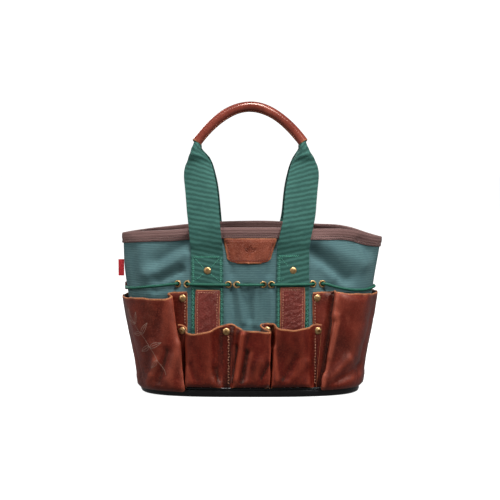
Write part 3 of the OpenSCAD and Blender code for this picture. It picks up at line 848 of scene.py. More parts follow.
def sprig(x, z):
    """Relief of a plain three-leaved sprig: pressed leaves with a raised vein, over a short stem."""
    depth = np.zeros(np.broadcast(x, z).shape)
    for x0, z0, turn, length in LEAF:
        c, s = math.cos(math.radians(turn)), math.sin(math.radians(turn))
        along = ((x - x0) * c + (z - z0) * s) / length
        aside = np.abs(-(x - x0) * s + (z - z0) * c)
        width = length * 0.23 * np.sin(np.pi * np.clip(along, 0, 1) ** 0.8)
        inside = smooth((width - aside) / 0.5 + 0.5) * ((along > 0.02) & (along < 1))
        depth = np.maximum(depth, inside * (1 - 0.8 * hump(aside, 0.35)))
    stem = hump(x, 0.45) * smooth((0.3 - z) / 0.5) * smooth((z + 4.5) / 0.5)
    return np.maximum(depth, stem)


def badge_outline(share):
    """Half width of the badge at a share of its height, and how far its rounded foot has opened there."""
    low = np.sqrt(np.maximum(0, 1 - (1 - np.minimum(share, 0.25) / 0.25) ** 2))
    return np.where(share < 0.25, 17 + 9.5 * low, 26.5 + 5.5 * (share - 0.25) / 0.75), low


def badge():
    """The leather badge under the rim, with a pressed sprig and a row of stitches."""
    share = np.concatenate([np.linspace(0, 0.25, 22) ** 1.6 / 0.25**0.6, np.linspace(0.26, 1, 52)])[:, None]
    half, low = badge_outline(share)
    across = np.linspace(-1, 1, 120)[None]
    x = half * across
    up = BADGE_H * share + 0 * across
    z = BADGE_Z + up
    inset = np.minimum((1 - np.abs(across)) * half, np.minimum(up + 3 * (1 - low), BADGE_H - up))
    puff = 0.55 * smooth(inset / 3.2) - 0.25 * hump(inset - 2.6, 0.6)
    pressed = sprig((x - 0.5) / 0.95, (z - 177) / 0.95)
    p = wall(x + BADGE_X, z, AIR + BADGE_T + puff - 0.8 * pressed)
    p = p + wall_normal(x, z) * (0.16 * lumps(p, 7, 3))[..., None]
    shape = Shape()
    shape.slab(p, BADGE_T, None, 0, 1, 0.8, wear=0.35 * hump(inset, 1.6), band=pressed)
    share = np.concatenate([np.linspace(0.98, 0.02, 60), np.full(30, 0.02), np.linspace(0.02, 0.98, 60)])
    turn = np.concatenate([np.full(60, -1.0), np.linspace(-1, 1, 30), np.full(60, 1.0)])
    x = (badge_outline(share)[0] - 2.6) * turn + BADGE_X
    z = BADGE_Z + np.maximum(BADGE_H * share, 2.6)
    shape.seam(wall(x, z, AIR + BADGE_T + 0.35), wall_normal(x, z), pitch=3.0, radius=0.38, slot=2)
    place(shape, "sprig_badge", [BADGE, EDGE, DARK_THREAD], "badge_leather", ["front_badge"])


# ---------------------------------------------------------------- handles: one length of webbing each
# Each table goes up the left leg by height: x of its middle, how far the webbing curls, and the share of its
# width that is left where it gathers into the grip.
LEG = [(176, -53.4), (192, -54.9), (209, -56.4), (228, -58.3), (241, -59.5), (253, -60.9), (266, -62.9),
       (275, -64.3), (283, -65.4), (291, -66.3), (297, -67), (301, -67.6), (305, -67.8), (308, -67.4)]
CURL = [(0, 0.0), (235, 0.1), (253, 0.4), (266, 0.8), (275, 1.1), (283, 1.6), (291, 2.4), (297, 3.4),
        (301, 4.2), (305, 5.0), (309, 5.7), (314, 6.0)]
GATHER = [(286, 1.0), (297, 0.95), (301, 0.8), (305, 0.74), (309, 0.68), (314, 0.57)]
ON_GRIP = 320.0
CROOK_Z = 295.5


def leg_y(z):
    """Y of the webbing's middle: along the wall to the rim, then straight towards the grip."""
    rim_y = wall(56, RIM_Z, LEG_GAP)[1]
    below = wall(56, np.minimum(z, RIM_Z), LEG_GAP)[..., 1]
    above = rim_y - (GRIP_GAP_Y + rim_y) * (z - RIM_Z) / (GRIP_TOP - RIM_Z)
    return np.where(z < RIM_Z, below, above)


def arch_z(x):
    """Height of the grip's middle line."""
    return GRIP_TOP - GRIP_FALL * (2 * x / GRIP_SPAN) ** 2


def strap_x(z):
    """X of the left strap's middle."""
    return -(STRAP_FOOT_X + (STRAP_HINGE_X - STRAP_FOOT_X) * (z - FABRIC_Z) / (HINGE_Z - FABRIC_Z))


def handle_line():
    """The left half of a handle's middle line, and a height for each point that keeps rising on the grip."""
    low = np.arange(FABRIC_Z, 176, 2.0)
    legs = np.arange(177, 308, 1.6)
    arch = np.linspace(-GRIP_SPAN / 2 + 0.3, 0, 34)
    x = np.concatenate([strap_x(low), np.interp(legs, *np.array(LEG).T), arch])
    z = np.concatenate([low, legs, arch_z(arch)])
    for _ in range(3):
        bend = slice(len(low) - 6, len(low) + len(legs) + 6)
        x[bend] = np.convolve(x, [0.25, 0.5, 0.25], "same")[bend]
    return np.stack([x, leg_y(z), z], -1), np.concatenate([low, legs, np.full(len(arch), ON_GRIP)])[:, None]


def handle_webbing():
    """The webbing from the foot of the left strap to the middle of the grip, then its mirror image."""
    centre, along = handle_line()
    z = centre[:, 2]
    ahead = unit(np.gradient(centre, axis=0))
    facing = np.radians(np.where(
        z < RIM_Z, 11 + 4 * (z - HINGE_Z) / (RIM_Z - HINGE_Z), 15 * np.clip(1 - (z - RIM_Z) / 70, 0, 1)))
    wide = unit(np.cross(ahead, np.stack([-np.sin(facing), -np.cos(facing), 0 * facing], -1)))
    thick = np.cross(wide, ahead)
    u = np.linspace(-1, 1, 33)[None] * (WEB_W / 2 - 0.5)
    z = z[:, None] + 0 * u
    curl = np.interp(along - 2 * u / 20, *np.array(CURL).T)
    radius = WEB_W * np.interp(along, *np.array(GATHER).T) / np.maximum(curl, 1e-3)
    bend = u * curl / WEB_W
    seat = smooth((along - 284) / 26)
    depth = radius * (np.cos(bend) - 1) + seat * np.minimum(radius, 6.4) + WEB_T / 2
    crook = 2.4 * hump(along - CROOK_Z + 0.22 * u, 3.6) * smooth((305 - along) / 6)
    sway = 0.5 * np.sin(along / 21) * smooth((along - 190) / 30) * smooth((300 - along) / 20) * (u / 20)
    aside = (radius * np.sin(bend))[..., None]
    free = centre[:, None] + wide[:, None] * aside + thick[:, None] * (depth + crook + sway)[..., None]
    sewn = wall(strap_x(z) + u, np.minimum(z, RIM_Z), AIR + WEB_T) - lean(z)[..., None] * [1, 0, 0]
    share = smooth((z - HINGE_Z) / 17)[..., None]
    p = sewn * (1 - share) + free * share
    run = run_along(centre)[:, None] + 0 * u
    stripes = run + (0.22 + 0.12 * smooth((along - 175) / 40) + 0.14 * smooth((along - 240) / 40)) * u
    uv = np.stack([u + 0 * run, run], -1)
    other = p[-2::-1] * [-1, 1, 1]
    high = other[..., 2]
    other[..., 0] += 3.4 * smooth((high - 185) / 40) * smooth((307 - high) / 18)
    stripes = np.concatenate([stripes, stripes[-2::-1]])
    shape = Shape()
    shape.slab(np.concatenate([p, other]), WEB_T, np.concatenate([uv, uv[-2::-1]]), 0, 0, 0.5, band=stripes)
    strap_stitches(shape, -1, 173)
    strap_stitches(shape, 1, 174.2)
    for side_name, made in (("front", shape), ("back", shape.mirrored())):
        piece = made.build(side_name + "_webbing", [WEBBING, GREEN_THREAD])
        nodes = [side_name + n for n in ("_handle_webbing", "_left_strap", "_right_strap")]
        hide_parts(*nodes)
        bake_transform(piece)


def strap_stitches(shape, sign, box_top):
    """Edge rows from the base to the hinge, and a box with a cross between the elastic and the hinge."""
    def row(x0, z0, x1, z1, **kind):
        t = np.linspace(0, 1, max(8, int(math.hypot(x1 - x0, z1 - z0) / 2)))
        x, z = x0 + (x1 - x0) * t, z0 + (z1 - z0) * t
        x = x - sign * strap_x(z)
        line = wall(x, z, AIR + WEB_T) - lean(z)[:, None] * [1, 0, 0]
        shape.seam(line, wall_normal(x, z), radius=0.4, slot=1, **kind)

    box_foot = CORD_Z + 3
    for edge in (-17.6, 17.6):
        row(edge, 84, edge, CORD_Z - 2, pitch=2.2, zigzag=1.0)
        row(edge, box_foot, edge, box_top, pitch=2.6)
        row(edge * 0.93, box_foot, edge * 0.93, box_top - 1, pitch=2.6)
    row(-17.4, box_top, 17.4, box_top, pitch=2.6)
    row(-16.4, box_top - 1.3, 16.4, box_top - 1.3, pitch=2.6)
    for tilt in (-1, 1):
        row(-14.6 * tilt, box_foot + 2, -4.5 * tilt, 151.6, pitch=2.6)
        row(4.5 * tilt, 159.4, 15.6 * tilt, box_top - 2, pitch=2.6)


def grip_sleeve():
    """Leather rolled round the webbing, its two edges meeting and sewn along the underside."""
    x = np.linspace(-GRIP_SPAN / 2, GRIP_SPAN / 2, 90)
    centre = np.stack([x, leg_y(arch_z(x)), arch_z(x)], -1)
    ahead = unit(np.gradient(centre, axis=0))
    up = unit(np.cross([0, -1.0, 0], ahead))
    fore = np.cross(ahead, up)
    seam_at, gap = 168, 4
    turn = np.radians(np.linspace(seam_at - 360 + gap, seam_at - gap, 65))[None]
    to_seam = np.minimum(turn - turn.min(), turn.max() - turn)
    share = np.linspace(-1, 1, len(x))[:, None]
    radius = GRIP_D / 2 + 0.55 * hump(to_seam, 0.22) - 0.25 * hump(to_seam - 0.42, 0.12)
    radius = (radius * (1 - 0.035 * share**2) + 0.12 * np.sin(9 * share + 2 * turn))[..., None]
    c, s = np.cos(turn)[..., None], np.sin(turn)[..., None]
    p = centre[:, None] + radius * (up[:, None] * c + fore[:, None] * s)
    shape = Shape()
    wear = 0.5 * smooth((np.abs(share) - 0.9) / 0.1) + 0 * turn
    shape.slab(p, SLEEVE_WALL, wear=wear, swell={"t": 0.8, "b": 0.8})
    for column in (-4, 3):
        shape.seam(p[2:-2, column], grid_normals(p)[2:-2, column], pitch=3.2, radius=0.34, slot=2)
    place_both(shape, "grip", [GRIP, EDGE, TAN_THREAD], "grip_leather", "grip_sleeve", on_handle=True)


def strap_patches():
    """Leather patches sewn over the feet of the straps. The right one stands a little higher."""
    half, low = 14.5, 40
    inset_of_row = 2.4
    for sign, side, high in ((-1, "left", 131), (1, "right", 134.5)):
        across = np.linspace(-1, 1, 40)[None]
        z = np.linspace(low, high, 110)[:, None] + 0 * across
        x = patch_x(sign, half * across, z)
        inset = np.minimum((1 - np.abs(across)) * half, high - z)
        puff = 0.5 * smooth(inset / 3) - 0.35 * hump(inset - inset_of_row, 0.7)
        p = wall(x, z, 2 * AIR + WEB_T + PATCH_T + puff)
        rough = 0.2 * lumps(p * [1, 1, 1.5], 9, 20 + sign) + 0.14 * lumps(p, 3.4, 60 + sign)
        p = p + wall_normal(x, z) * (rough * smooth(inset / 4))[..., None]
        shape = Shape()
        shape.slab(p, PATCH_T, None, 0, 1, 0.7, wear=0.3 * hump(inset, 1.4))
        t = np.linspace(0, 1, 60)
        row_x, row_top = half - inset_of_row, high - inset_of_row
        upward = low + 2 + (row_top - low - 2) * t
        for x, z in (
            (-row_x + 0 * t, upward), (row_x + 0 * t, upward), (row_x * (2 * t - 1), row_top + 0 * t),
        ):
            x = patch_x(sign, x, z)
            line = wall(x, z, 2 * AIR + WEB_T + PATCH_T + 0.15)
            shape.seam(line, wall_normal(x, z), pitch=3.2, radius=0.4, slot=2)
        place_both(shape, side + "_patch", [PATCH, EDGE, TAN_THREAD], "leather", side + "_strap_patch")


def patch_x(sign, across, z):
    """X on a patch by the distance from its middle: its cut edges waver a little."""
    return sign * STRAP_FOOT_X + across + 0.5 * np.sin(z / 17 + sign)


# ---------------------------------------------------------------- leather pockets
LEATHER_FOOT = TRAY_H + 1.0
BEHIND_WELT = 2.9
OVER_WELT = (8.9, FOOT_Z + 0.6)
FULL_BELLY = 3.0
SEAM = 999.0

# A station is [x at the top, x at the foot, gap at the top, gap at the foot, height of the lip, belly]. The
# gap is measured outside the canvas, and SEAM stands for the end of the plan.
LEFT_POCKET = [
    (SEAM, SEAM, 6, 2.9, 117, 6.2), (-157.5, -131, 7.5, 2.9, 117, 6.2), (-154.5, -128, 10, 2.9, 117.6, 6.4),
    (-148, -123, 15, 2.9, 118.4, 6.8), (-138, -115, 19.5, 2.9, 119.6, 7), (-126, -106, 22, 2.9, 120, 7),
    (-114, -97, 21.5, 2.9, 119.6, 7), (-104.5, -89, 19, 2.9, 119.8, 6.5), (-97.5, -82, 15, 2.9, 121.2, 6),
    (-94, -79.2, 10, 2.9, 123, 4.5), (-96.5, -80.5, 5, 2.4, 124.6, 2.5), (-99.4, -83, 1.8, 1.2, 126, 1),
    (-95, -83, 0.5, 0.4, 127, 0), (-86, -81.5, 0.4, 0.4, 127.6, 0), (-77.2, -77.2, 0.4, 0.4, 127.4, 0),
]
RIGHT_POCKET = [
    (77.2, 77.2, 0.4, 0.4, 127, 0), (86, 80, 0.4, 0.4, 127.3, 0), (95.5, 82.5, 0.4, 0.4, 127.6, 0),
    (101.5, 85, 0.8, 0.6, 127.6, 0.3), (105.4, 87.5, 3.4, 1.4, 128, 1.4),
    (104.2, 86.4, 10.5, 2.9, 128.8, 4.5),
    (107.4, 88.6, 16.4, 2.9, 128.6, 6.8), (114.5, 94.5, 19.2, 2.9, 127.4, 7), (125, 104, 20, 2.9, 126, 7),
    (136, 114, 19, 2.9, 124.6, 7), (147, 122, 15, 2.9, 123.4, 7), (153.5, 128, 9.5, 2.9, 122.4, 7),
    (157, 131, 6.4, 2.9, 122.2, 7), (SEAM, SEAM, 4.6, 2.9, 122.4, 7),
]
ROW = [
    (-88, -81, 2.8, 2.8, 87.3, 0), (-82.5, -80, 2.8, 2.8, 86.8, 0), (-79, -79, 4.4, 2.8, 84.4, 0.8),
    (-79.2, -78.6, 10, 2.9, 80.8, 3), (-77, -77.4, 15.5, 2.9, 78.6, 5.5), (-71.5, -73, 18.6, 2.9, 77.8, 7),
    (-62, -63, 19.6, 2.9, 78.6, 7), (-50, -51, 16.4, 2.9, 81.4, 7), (-42, -43, 9.5, 2.9, 84.2, 5),
    (-36, -35.5, 3.6, 2.6, 86.4, 1.5), (-31, -30.5, 2.4, 2.4, 87.6, 0), (-25, -25.5, 2.4, 2.4, 88.4, 0),
    (-20.6, -23, 4.2, 2.6, 88, 1.5), (-16, -20, 9, 2.9, 86.2, 4), (-9, -12.5, 13.4, 2.9, 83.4, 6.5),
    (2, -2, 16, 2.9, 81.6, 7), (12, 8, 16.6, 2.9, 80.6, 7), (20, 17, 16.8, 2.9, 80.2, 7),
    (25.2, 23.4, 15.4, 3, 80.2, 6), (24.4, 23.4, 12, 2.9, 81.4, 4.5), (19, 22, 8.6, 2.8, 84.2, 3),
    (14.4, 20, 5.8, 2.7, 87.2, 1.4), (14.8, 19.5, 3, 2.5, 89, 0), (19, 21, 2.4, 2.4, 89.8, 0),
    (25, 24, 2.4, 2.4, 89.8, 0), (28.4, 25, 4.6, 2.6, 89.2, 1), (30, 25.8, 9.6, 2.8, 88, 3.5),
    (32.4, 28, 14, 2.9, 86.2, 6), (39, 37, 17, 2.9, 84.2, 7), (50, 49, 18.6, 2.9, 83, 7),
    (62, 61, 16.2, 2.9, 83.4, 7), (71, 70, 10, 2.9, 85, 5), (76.6, 76, 4.6, 2.9, 87.4, 1.5),
    (81.5, 79, 2.8, 2.8, 88.4, 0), (87.4, 80.6, 2.8, 2.8, 88, 0),
]


# Folds of the pockets' leather: x and z of both ends, width and height, which is negative in a valley.
CRUMPLES = [
    (-8.5, 78, -18, 22, 4.5, 2.6), (-17, 62, -23.5, 17, 3, -3.0), (-4, 56, -11, 17, 4, -2.6),
    (12, 44, 3, 18, 7, 1.8), (14, 26, 22, 40, 4, -1.2), (-58, 70, -52, 20, 9, 0.9),
    (-42, 34, -36, 16, 5, -1.4), (48, 18, 70, 44, 6, 1.1), (38, 20, 58, 50, 5, -1.0),
    (30, 60, 34, 22, 4, 1.2), (-74, 40, -64, 18, 5, -1.0), (-88, 66, -99, 16, 7, 1.8),
    (-103, 56, -114, 16, 6, -2.2), (-118, 42, -127, 14, 6, 2.2), (-130, 70, -124, 34, 7, -1.4),
    (-146, 100, -128, 60, 10, 1.2), (-112, 110, -118, 74, 9, -1.2), (92, 16, 122, 46, 6, 2.0),
    (99, 13, 138, 34, 5, -2.2), (90, 34, 103, 92, 4.5, -2.0), (108, 100, 98, 50, 5, 1.4),
    (120, 96, 116, 60, 9, -1.1), (132, 80, 126, 40, 8, 1.3), (144, 60, 134, 20, 6, -1.2),
    (126, 18, 136, 22, 6, 1.8),
]


def feet(belly, hang):
    """Gap and height of the leather's foot: behind the welt where it lies flat, over it where it bellies."""
    share = np.clip(belly / 6, 0, 1)
    over, drop = np.clip(share * 2.5, 0, 1), np.clip(share * 1.7 - 0.7, 0, 1)
    gap = BEHIND_WELT + (OVER_WELT[0] - BEHIND_WELT) * over + (hang[0] - OVER_WELT[0]) * drop
    z = LEATHER_FOOT + (OVER_WELT[1] - LEATHER_FOOT) * over + (hang[1] - OVER_WELT[1]) * drop
    return gap, z


def pocket_grid(stations, rows, cols, seed, hang):
    """The outer face of a pocket's leather, swept between its foot and its lip."""
    top_x, foot_x, top_gap, foot_gap, lip_z, belly = np.array(stations, float).T
    hang_gap, foot_z = feet(belly, hang)
    ends = top_x == SEAM
    side = np.sign(top_x[~ends].mean())

    def plan_angle(x, reach):
        angle = np.degrees(np.arcsin(np.clip(x / reach, -1, 1)))
        angle[ends] = side * 90
        return angle

    at_top = ring(plan_angle(top_x, half_w(lip_z) + top_gap), lip_z, top_gap)
    spread = run_along(at_top) + 1.5 * np.arange(len(at_top))
    where = np.linspace(0, spread[-1], cols)
    knot = np.interp(where, spread, np.arange(len(spread)))
    lips, bellies = spline_at(np.stack([lip_z, belly], -1), knot).T
    lips = lips + 0.55 * np.sin(where / 5.3 + seed) * np.sin(where / 13.1 + seed * 2)
    share = np.linspace(0, 1, rows) ** 0.85
    out = np.zeros((rows, cols, 3))
    for i, s in enumerate(share):
        z = foot_z + (lip_z - foot_z) * s
        flare = 1 - np.exp(-np.maximum(0, z - foot_z) / 3.2)
        gap = foot_gap + (top_gap - foot_gap) * s + belly * flare * (1 - s) ** 1.1
        gap = gap + np.maximum(0, hang_gap - BEHIND_WELT) * (1 - s) ** 9
        angle = plan_angle(foot_x + (top_x - foot_x) * s, half_w(z) + gap)
        angle, gap, low = spline_at(np.stack([angle, gap, foot_z], -1), knot).T
        out[i] = ring(np.clip(angle, -90, 90), low + (lips - low) * s, np.maximum(gap, 0.35) + LEATHER_T)
    return out + grid_normals(out) * (rumple(out, share[:, None], bellies, seed))[..., None]


def rumple(p, share, bellies, seed):
    """How far a pocket's leather stands off its plain shape. It lies flat where it is fastened."""
    total = 0.6 * lumps(p * [1, 1, 0.6], 38, seed) + 0.12 * lumps(p, 13, seed + 1)
    total = total + hump(share - 0.08, 0.12) * (0.45 * lumps(p * [1.2, 1.2, 1.8], 20, seed + 2))
    front = smooth((-p[..., 1] - 14) / 30)
    total = total + 1.25 * front * sum(crease(p[..., 0], p[..., 2], *fold) for fold in CRUMPLES)
    return total * np.clip(bellies / FULL_BELLY, 0, 1)[None] * smooth(share * 6)


def bend_wear(p, reach=3):
    """How sharply a grid bulges outwards, from 0 to 1, or folds inwards, down to -1. Bulges get pull-up paling
    and a painted highlight, folds get painted shade.
    """
    n = grid_normals(p)
    left, right = np.roll(p, reach, 1) - p, np.roll(p, -reach, 1) - p
    apart = np.einsum("ijk,ijk->ij", left, left) + np.einsum("ijk,ijk->ij", right, right)
    curve = -2 * np.einsum("ijk,ijk->ij", left + right, n) / np.maximum(1e-6, apart)
    curve[:, :reach] = curve[:, -reach:] = 0
    return np.clip(curve / 0.16, -1, 1)


def pocket_piece(p, name, node, leather_material, extras):
    """A pocket's leather with what is sewn or scored on it. Its lip is rubbed pale, its bulges are pulled pale
    with a painted highlight, and its folds get painted shade.
    """
    shape = Shape()
    lip = smooth((np.linspace(0, 1, len(p))[:, None] - 0.97) / 0.03)
    # Lip rubbed pale; bulges pulled pale with a painted highlight; folds darkened as painted shade.
    shape.slab(p, LEATHER_T, wear=np.clip(bend_wear(p) + 0.35 * lip, -1, 1), back=2, swell={"t": 0.9})
    for extra in extras:
        shape.merge(extra)
    place(shape, name, [leather_material, EDGE, SUEDE, TAN_THREAD, PALE_LINE], "leather", [node])


def wall_seam(x, z_low, z_high, off, zigzag):
    """An upright row of stitches, as a shape of its own."""
    z = np.linspace(z_low, z_high, 50)
    x = x + 0 * z
    sewn = Shape()
    sewn.seam(wall(x, z, off), wall_normal(x, z), pitch=3.6, radius=0.55, slot=3, share=0.6, zigzag=zigzag)
    return sewn


def on_grid(p, s, z):
    """Points and normals of a pocket's face by the length round it from its first column, and by height."""
    rows, cols = p.shape[:2]
    n = grid_normals(p)
    lengths = [run_along(line) for line in p]
    row, col = np.full(len(s), rows / 2.0), np.full(len(s), cols / 3.0)
    for _ in range(8):
        for k in range(len(s)):
            col[k] = np.interp(s[k], lengths[int(row[k])], np.arange(cols))
            row[k] = np.interp(z[k], p[:, int(col[k]), 2], np.arange(rows))
    r, c = np.clip(row.astype(int), 0, rows - 2), np.clip(col.astype(int), 0, cols - 2)
    fr, fc = (row - r)[:, None], (col - c)[:, None]

    def at(grid):
        low = grid[r, c] * (1 - fc) + grid[r, c + 1] * fc
        return low * (1 - fr) + (grid[r + 1, c] * (1 - fc) + grid[r + 1, c + 1] * fc) * fr
    return at(p), at(n)


def leaf_lines(x0, z0, turn, length, width):
    """Outline and midrib of a slender leaf that grows from a point."""
    t = np.linspace(0, 1, 26)
    half = width / 2 * np.sin(math.pi * t**0.8) * (1 - 0.25 * t)
    c, s = math.cos(math.radians(turn)), math.sin(math.radians(turn))
    lines = []
    for side in (-1, 1, 0):
        aside = side * half + 0.02 * length * np.sin(t * 5)
        lines.append((x0 + length * t * c - aside * s, z0 + length * t * s + aside * c))
    return lines


# The sprig scored in the left end pocket, placed by the length round the pocket from the left seam and by
# height. Each leaf has its stalk, direction, length and width.
SCORED_STEM = ((48, 95), (93, 27), 5)
SCORED_LEAVES = [
    (48, 95, 125, 14, 4.5), (55, 89, 172, 15, 5), (56, 88, 80, 16, 5), (64, 78, 192, 17, 5.5),
    (65, 76, 55, 19, 5.5), (73, 62, 208, 18, 6), (74, 60, 24, 19, 6), (83, 45, 226, 15, 5),
]


def scored_sprig(p):
    """A thin line drawing of a leafy sprig on a pocket's face."""
    t = np.linspace(0, 1, 60)
    (x0, z0), (x1, z1), bow_height = SCORED_STEM
    lines = [(x0 + (x1 - x0) * t, z0 + (z1 - z0) * t + bow_height * np.sin(t * 3.1))]
    for leaf in SCORED_LEAVES:
        lines += leaf_lines(*leaf)
    drawing = Shape()
    for x, z in lines:
        at, n = on_grid(p, x, z)
        n = unit(n)
        side = unit(np.cross(np.gradient(at, axis=0), n))
        profile = ((0.4, -0.1), (0.2, 0.08), (-0.2, 0.08), (-0.4, -0.1))
        drawing.grid(np.stack([at + side * w + n * h for w, h in profile]), None, 4)
    return drawing


def end_pockets():
    """Two pockets, each wrapping round an end from the front to the back in one strip."""
    for side, stations, seam_x, seed, hang_z in (
        ("left", LEFT_POCKET, -80.4, 7, 6.4), ("right", RIGHT_POCKET, 80.4, 23, 8.2),
    ):
        front = pocket_grid(stations, 72, 170, seed, (8.9, hang_z))
        back = (front * TO_BACK)[:, ::-1]
        sewn = wall_seam(seam_x, 90, 125.5, LEATHER_T + 0.5, 0.3)
        extras = [sewn, sewn.mirrored()]
        if side == "left":
            whole = np.concatenate([back[:, :-1], front], 1)
            extras.append(scored_sprig(front))
        else:
            whole = np.concatenate([front, back[:, 1:]], 1)
        pocket_piece(whole, side + "_end_pouch", side + "_end_pocket", END_POCKET, extras)


def pocket_rows():
    """On each side one pleated strip that makes three pockets."""
    p = pocket_grid(ROW, 64, 420, 11, (8.6, 12.9))
    seams = [wall_seam(-26.4, 16, 77, LEATHER_T + 2.6, 0.9), wall_seam(80.4, 16, 78, LEATHER_T + 3.0, 0.3)]
    pocket_piece(p, "front_pouches", "front_pocket_row", POCKET, seams)
    back_seams = [sewn.mirrored() for sewn in seams]
    pocket_piece((p * TO_BACK)[:, ::-1], "back_pouches", "back_pocket_row", POCKET, back_seams)


# ---------------------------------------------------------------- fasteners
def rivets():
    """Domed caps in front, posts through the wall and plain caps inside."""
    dome = [(0.01, 1.5), (1.4, 1.45), (2.6, 1.25), (3.5, 0.9), (4.1, 0.5), (RIVET_D / 2 - 0.1, 0.1),
            (RIVET_D / 2, -0.25), (4.3, -0.4), (1.5, -0.4)]
    inner_cap = [(0.01, 1.2), (2.6, 1.1), (3.9, 0.5), (4.2, 0.0), (4.0, -0.2)]
    groups = {
        "strap": [(s * 52.8, 155.5, WEB_T + AIR) for s in (-1, 1)],
        "pocket": [
            (-83, 81, LEATHER_T + 2.8), (83, 81, LEATHER_T + 2.8), (-83, 121, LEATHER_T + 0.4),
            (83, 121, LEATHER_T + 0.4), (-29, 80.8, LEATHER_T + 2.4), (21, 82.5, LEATHER_T + 2.4),
        ],
    }
    for group, places in groups.items():
        shape = Shape()
        for x, z, off in places:
            n = wall_normal(x, z)
            centre = wall(x, z) + n * (off + 0.35)
            shape.lathe(dome, centre, n + 0.04 * np.array([math.sin(x), 0, math.cos(x + z)]))
            shape.lathe([(1.4, off), (1.4, -off - WALL_T)], centre, n, sides=12)
            shape.lathe(inner_cap, wall(x, z) - n * (WALL_T + 0.2), -n)
        place_both(shape, group + "_caps", [BRASS], "brass", group + "_rivets")


def eyelets():
    """Rolled brass rings on both faces of the wall, with a black cloth disc across each hole between them as
    painted shade of the hole.
    """
    outer = [(2.5, -2.6), (2.5, 0.1), (2.75, 0.75), (3.2, 1.2), (3.8, 1.2), (EYELET_D / 2, 0.8), (4.65, 0.1),
             (4.5, -0.2)]
    shape = Shape()
    for x in np.ravel(EYELET_PAIRS):
        n = wall_normal(x, CORD_Z)
        centre = wall(x, CORD_Z)
        back = centre - n * (WALL_T + 0.3)
        shape.lathe(outer, centre, n)
        # Painted shade: a black disc closes the hole where it would be dark.
        shape.lathe([(0.01, 0.12), (2.6, 0.12)], centre, n, slot=1)
        shape.lathe([(2.5, -0.6), (2.6, 0.5), (3.2, 0.8), (3.9, 0.4), (4.1, 0.0)], back, -n)
        # The same black disc closes the hole from inside, as painted shade.
        shape.lathe([(0.01, 0.1), (2.6, 0.1)], back, -n, slot=1)
    place_both(shape, "eyelet_rings", [BRASS, LINING], "brass", "eyelets")


# ---------------------------------------------------------------- elastic, keeper and tag
CORD_OUT = 2.9 + CORD_D / 2
CORD_IN = -WALL_T - 1.8 - CORD_D / 2
OVER_STRAP = {-77.9: -52, 26.7: 52}
# Points of the cord's runs round the ends: x, distance outside the canvas, and height from the keeper's.
LEFT_RUN = [(-155.6, 2.3, -1.6), (-152, 3.0, -1.3), (-145, 3.9, -0.4), (-130, 5, 2.2), (-110, 5, 5)]
RIGHT_RUN = [(102, 5, 5), (114, 5.4, 1.6), (128, 5.6, -1.2), (142, 5, -2.2), (152, 4.4, -1)]


def taut(x, off, z):
    """A point off the wall's plain shape, without its folds."""
    return [x + lean(z), -(half_d(z) + off) * bow(x / (half_w(z) + off), z), z]


def cord_route():
    """From the keeper at the left seam along the front, round the right end, and back along the back."""
    run = [(x, off, KEEPER_Z + dz) for x, off, dz in LEFT_RUN]
    for a, b in EYELET_PAIRS:
        run += [(a - 5, CORD_OUT - 0.6, CORD_Z), (a, -0.6, CORD_Z), ((a + b) / 2, CORD_IN, CORD_Z)]
        run += [(b, -0.6, CORD_Z), (b + 5, CORD_OUT - 0.6, CORD_Z)]
        if b in OVER_STRAP:
            run.append((OVER_STRAP[b], CORD_OUT + 0.3, CORD_Z))
    run += [(x, off, KEEPER_Z + dz) for x, off, dz in RIGHT_RUN]
    start = [-half_w(KEEPER_Z) - 1.4, -1.3, KEEPER_Z - 1.2]
    end = [half_w(KEEPER_Z) + 1.9, 0, KEEPER_Z - 0.4]
    front = np.array([start] + [taut(*point) for point in run])
    return np.concatenate([front, [end], (front * TO_BACK)[::-1]])


def elastic():
    """The braided cord. Its cover makes it a little thicker than the CAD model's cord."""
    knots = cord_route()
    shape = Shape()
    shape.tube(spline(knots, (len(knots) - 1) * 8 + 1), CORD_D / 2 * 1.18)
    place(shape, "shock_cord", [BRAID], "elastic", ["elastic_cord"])


def keeper():
    """The leather keeper at the left seam: a small rounded block round both ends of the cord."""
    sides = 24
    turn = np.linspace(0, 2 * math.pi, sides, endpoint=False)
    c, s = np.cos(turn), np.sin(turn)
    x = 1.6 * np.sign(c) * np.abs(c) ** 0.7
    y = 2.4 * np.sign(s) * np.abs(s) ** 0.7
    middle_x = -half_w(KEEPER_Z) - 1.0
    p = np.array([
        np.stack([middle_x + x * swell, y * swell, np.full(sides, KEEPER_Z + up)], -1)
        for up, swell in ((-5, 0.55), (-4.8, 0.85), (-4, 1), (0, 1.08), (4, 1), (4.8, 0.85), (5, 0.55))])
    shape = Shape()
    shape.grid(p, None, wrap=True)
    shape.fan(p[0], p[0].mean(0), slot=1, flip=True)
    shape.fan(p[-1], p[-1].mean(0), slot=1)
    place(shape, "leather_keeper", [PATCH, EDGE], "leather", ["cord_keeper"])


def tag():
    """A folded ribbon caught in the left seam."""
    z = np.linspace(143.6, 164.4, 24)[:, None]
    base = -half_w(154) - 0.4
    loop = [(0, 0.45), (-3, 0.5), (-6, 0.55), (-6.7, 0.45), (-7, 0), (-6.7, -0.45), (-6, -0.55), (-3, -0.5),
            (0, -0.45)]
    x, y = by_length(spline(loop, 49), count=40).T
    flutter = 0.35 * np.sin(z / 6.0)
    p = np.stack([base + x + 0 * z, y + flutter * x / 7, z + 0 * x], -1)
    uv = np.stack([np.arange(len(x)) * 0.38 + 0 * z, p[..., 2]], -1)
    shape = Shape()
    shape.slab(p[:, ::-1], 0.3, uv, 0, 0)
    place(shape, "side_ribbon", [RIBBON], "tag", ["side_tag"])


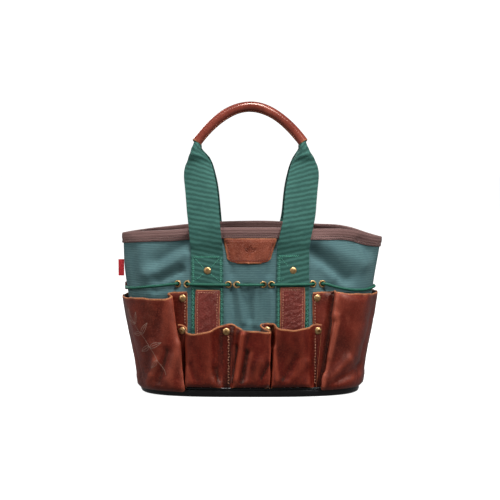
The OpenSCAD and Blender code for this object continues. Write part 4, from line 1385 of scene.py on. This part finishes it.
base_tray()
base_welt()
floor_lining()
base_board()
body_cloth()
rim_binding()
badge()
handle_webbing()
grip_sleeve()
strap_patches()
end_pockets()
pocket_rows()
rivets()
eyelets()
elastic()
keeper()
tag()


# ---------------------------------------------------------------- floor, light and camera
def stage(name, corners, colour, glow):
    """A sheet of quads that is white by its own glow, but neither lights the bag nor shows in it."""
    material = bpy.data.materials.new(name)
    material.use_nodes = True
    shader = next(n for n in material.node_tree.nodes if n.type == "BSDF_PRINCIPLED")
    shader.inputs["Base Color"].default_value = (colour, colour, colour, 1)
    shader.inputs["Roughness"].default_value = 0.9
    shader.inputs["Specular IOR Level"].default_value = 0.0
    shader.inputs["Emission Color"].default_value = (1, 1, 1, 1)
    shader.inputs["Emission Strength"].default_value = glow
    mesh = bpy.data.meshes.new(name)
    mesh.from_pydata(corners, [], [range(i, i + 4) for i in range(0, len(corners), 4)])
    mesh.materials.append(material)
    sheet = bpy.data.objects.new(name, mesh)
    bpy.context.scene.collection.objects.link(sheet)
    sheet.visible_diffuse = sheet.visible_glossy = False


def aimed(name, data, place_at, target):
    """A lamp or a camera that looks at a target."""
    made = bpy.data.objects.new(name, data)
    made.location = place_at
    made.rotation_euler = (Vector(target) - made.location).to_track_quat("-Z", "Y").to_euler()
    bpy.context.scene.collection.objects.link(made)
    return made


def studio():
    """Floor and backdrop, soft light from four sides and the camera."""
    reach = 6
    corners = [(-reach, -reach, 0), (reach, -reach, 0), (reach, reach, 0), (-reach, reach, 0)]
    stage("floor", corners, 0.4, 0.92)
    walls = []
    for x, y in ((0, 1), (1, 0), (0, -1), (-1, 0)):
        ends = [((x + y) * reach, (y - x) * reach), ((x - y) * reach, (y + x) * reach)]
        walls += [(*ends[0], 0), (*ends[1], 0), (*ends[1], reach), (*ends[0], reach)]
    stage("backdrop", walls, 0.5, 0.98)

    world = bpy.data.worlds.new("studio_world")
    bpy.context.scene.world = world
    world.use_nodes = True
    background = world.node_tree.nodes["Background"]
    background.inputs[0].default_value = (1, 1, 1, 1)
    background.inputs[1].default_value = 0.22

    for name, place_at, size, power in (
        ("right", (1.5, -1.3, 1.7), 0.4, 34),
        ("left", (-1.8, -1.0, 1.2), 0.55, 15),
        ("top", (0.1, -0.6, 1.9), 0.45, 32),
        ("rear", (-1.1, 1.7, 1.3), 0.8, 20),
    ):
        lamp = bpy.data.lights.new(name, "AREA")
        lamp.shape = "SQUARE"
        lamp.size = size
        lamp.energy = power
        aimed(name, lamp, place_at, (0, 0, 0.17))

    camera = bpy.data.cameras.new("camera")
    camera.lens = 142.6
    camera.sensor_width = 36
    bpy.context.scene.camera = aimed("camera", camera, (0, -2.5, 0.384), (0, 0, 0.176))
    bpy.context.scene.view_settings.view_transform = "Standard"


studio()
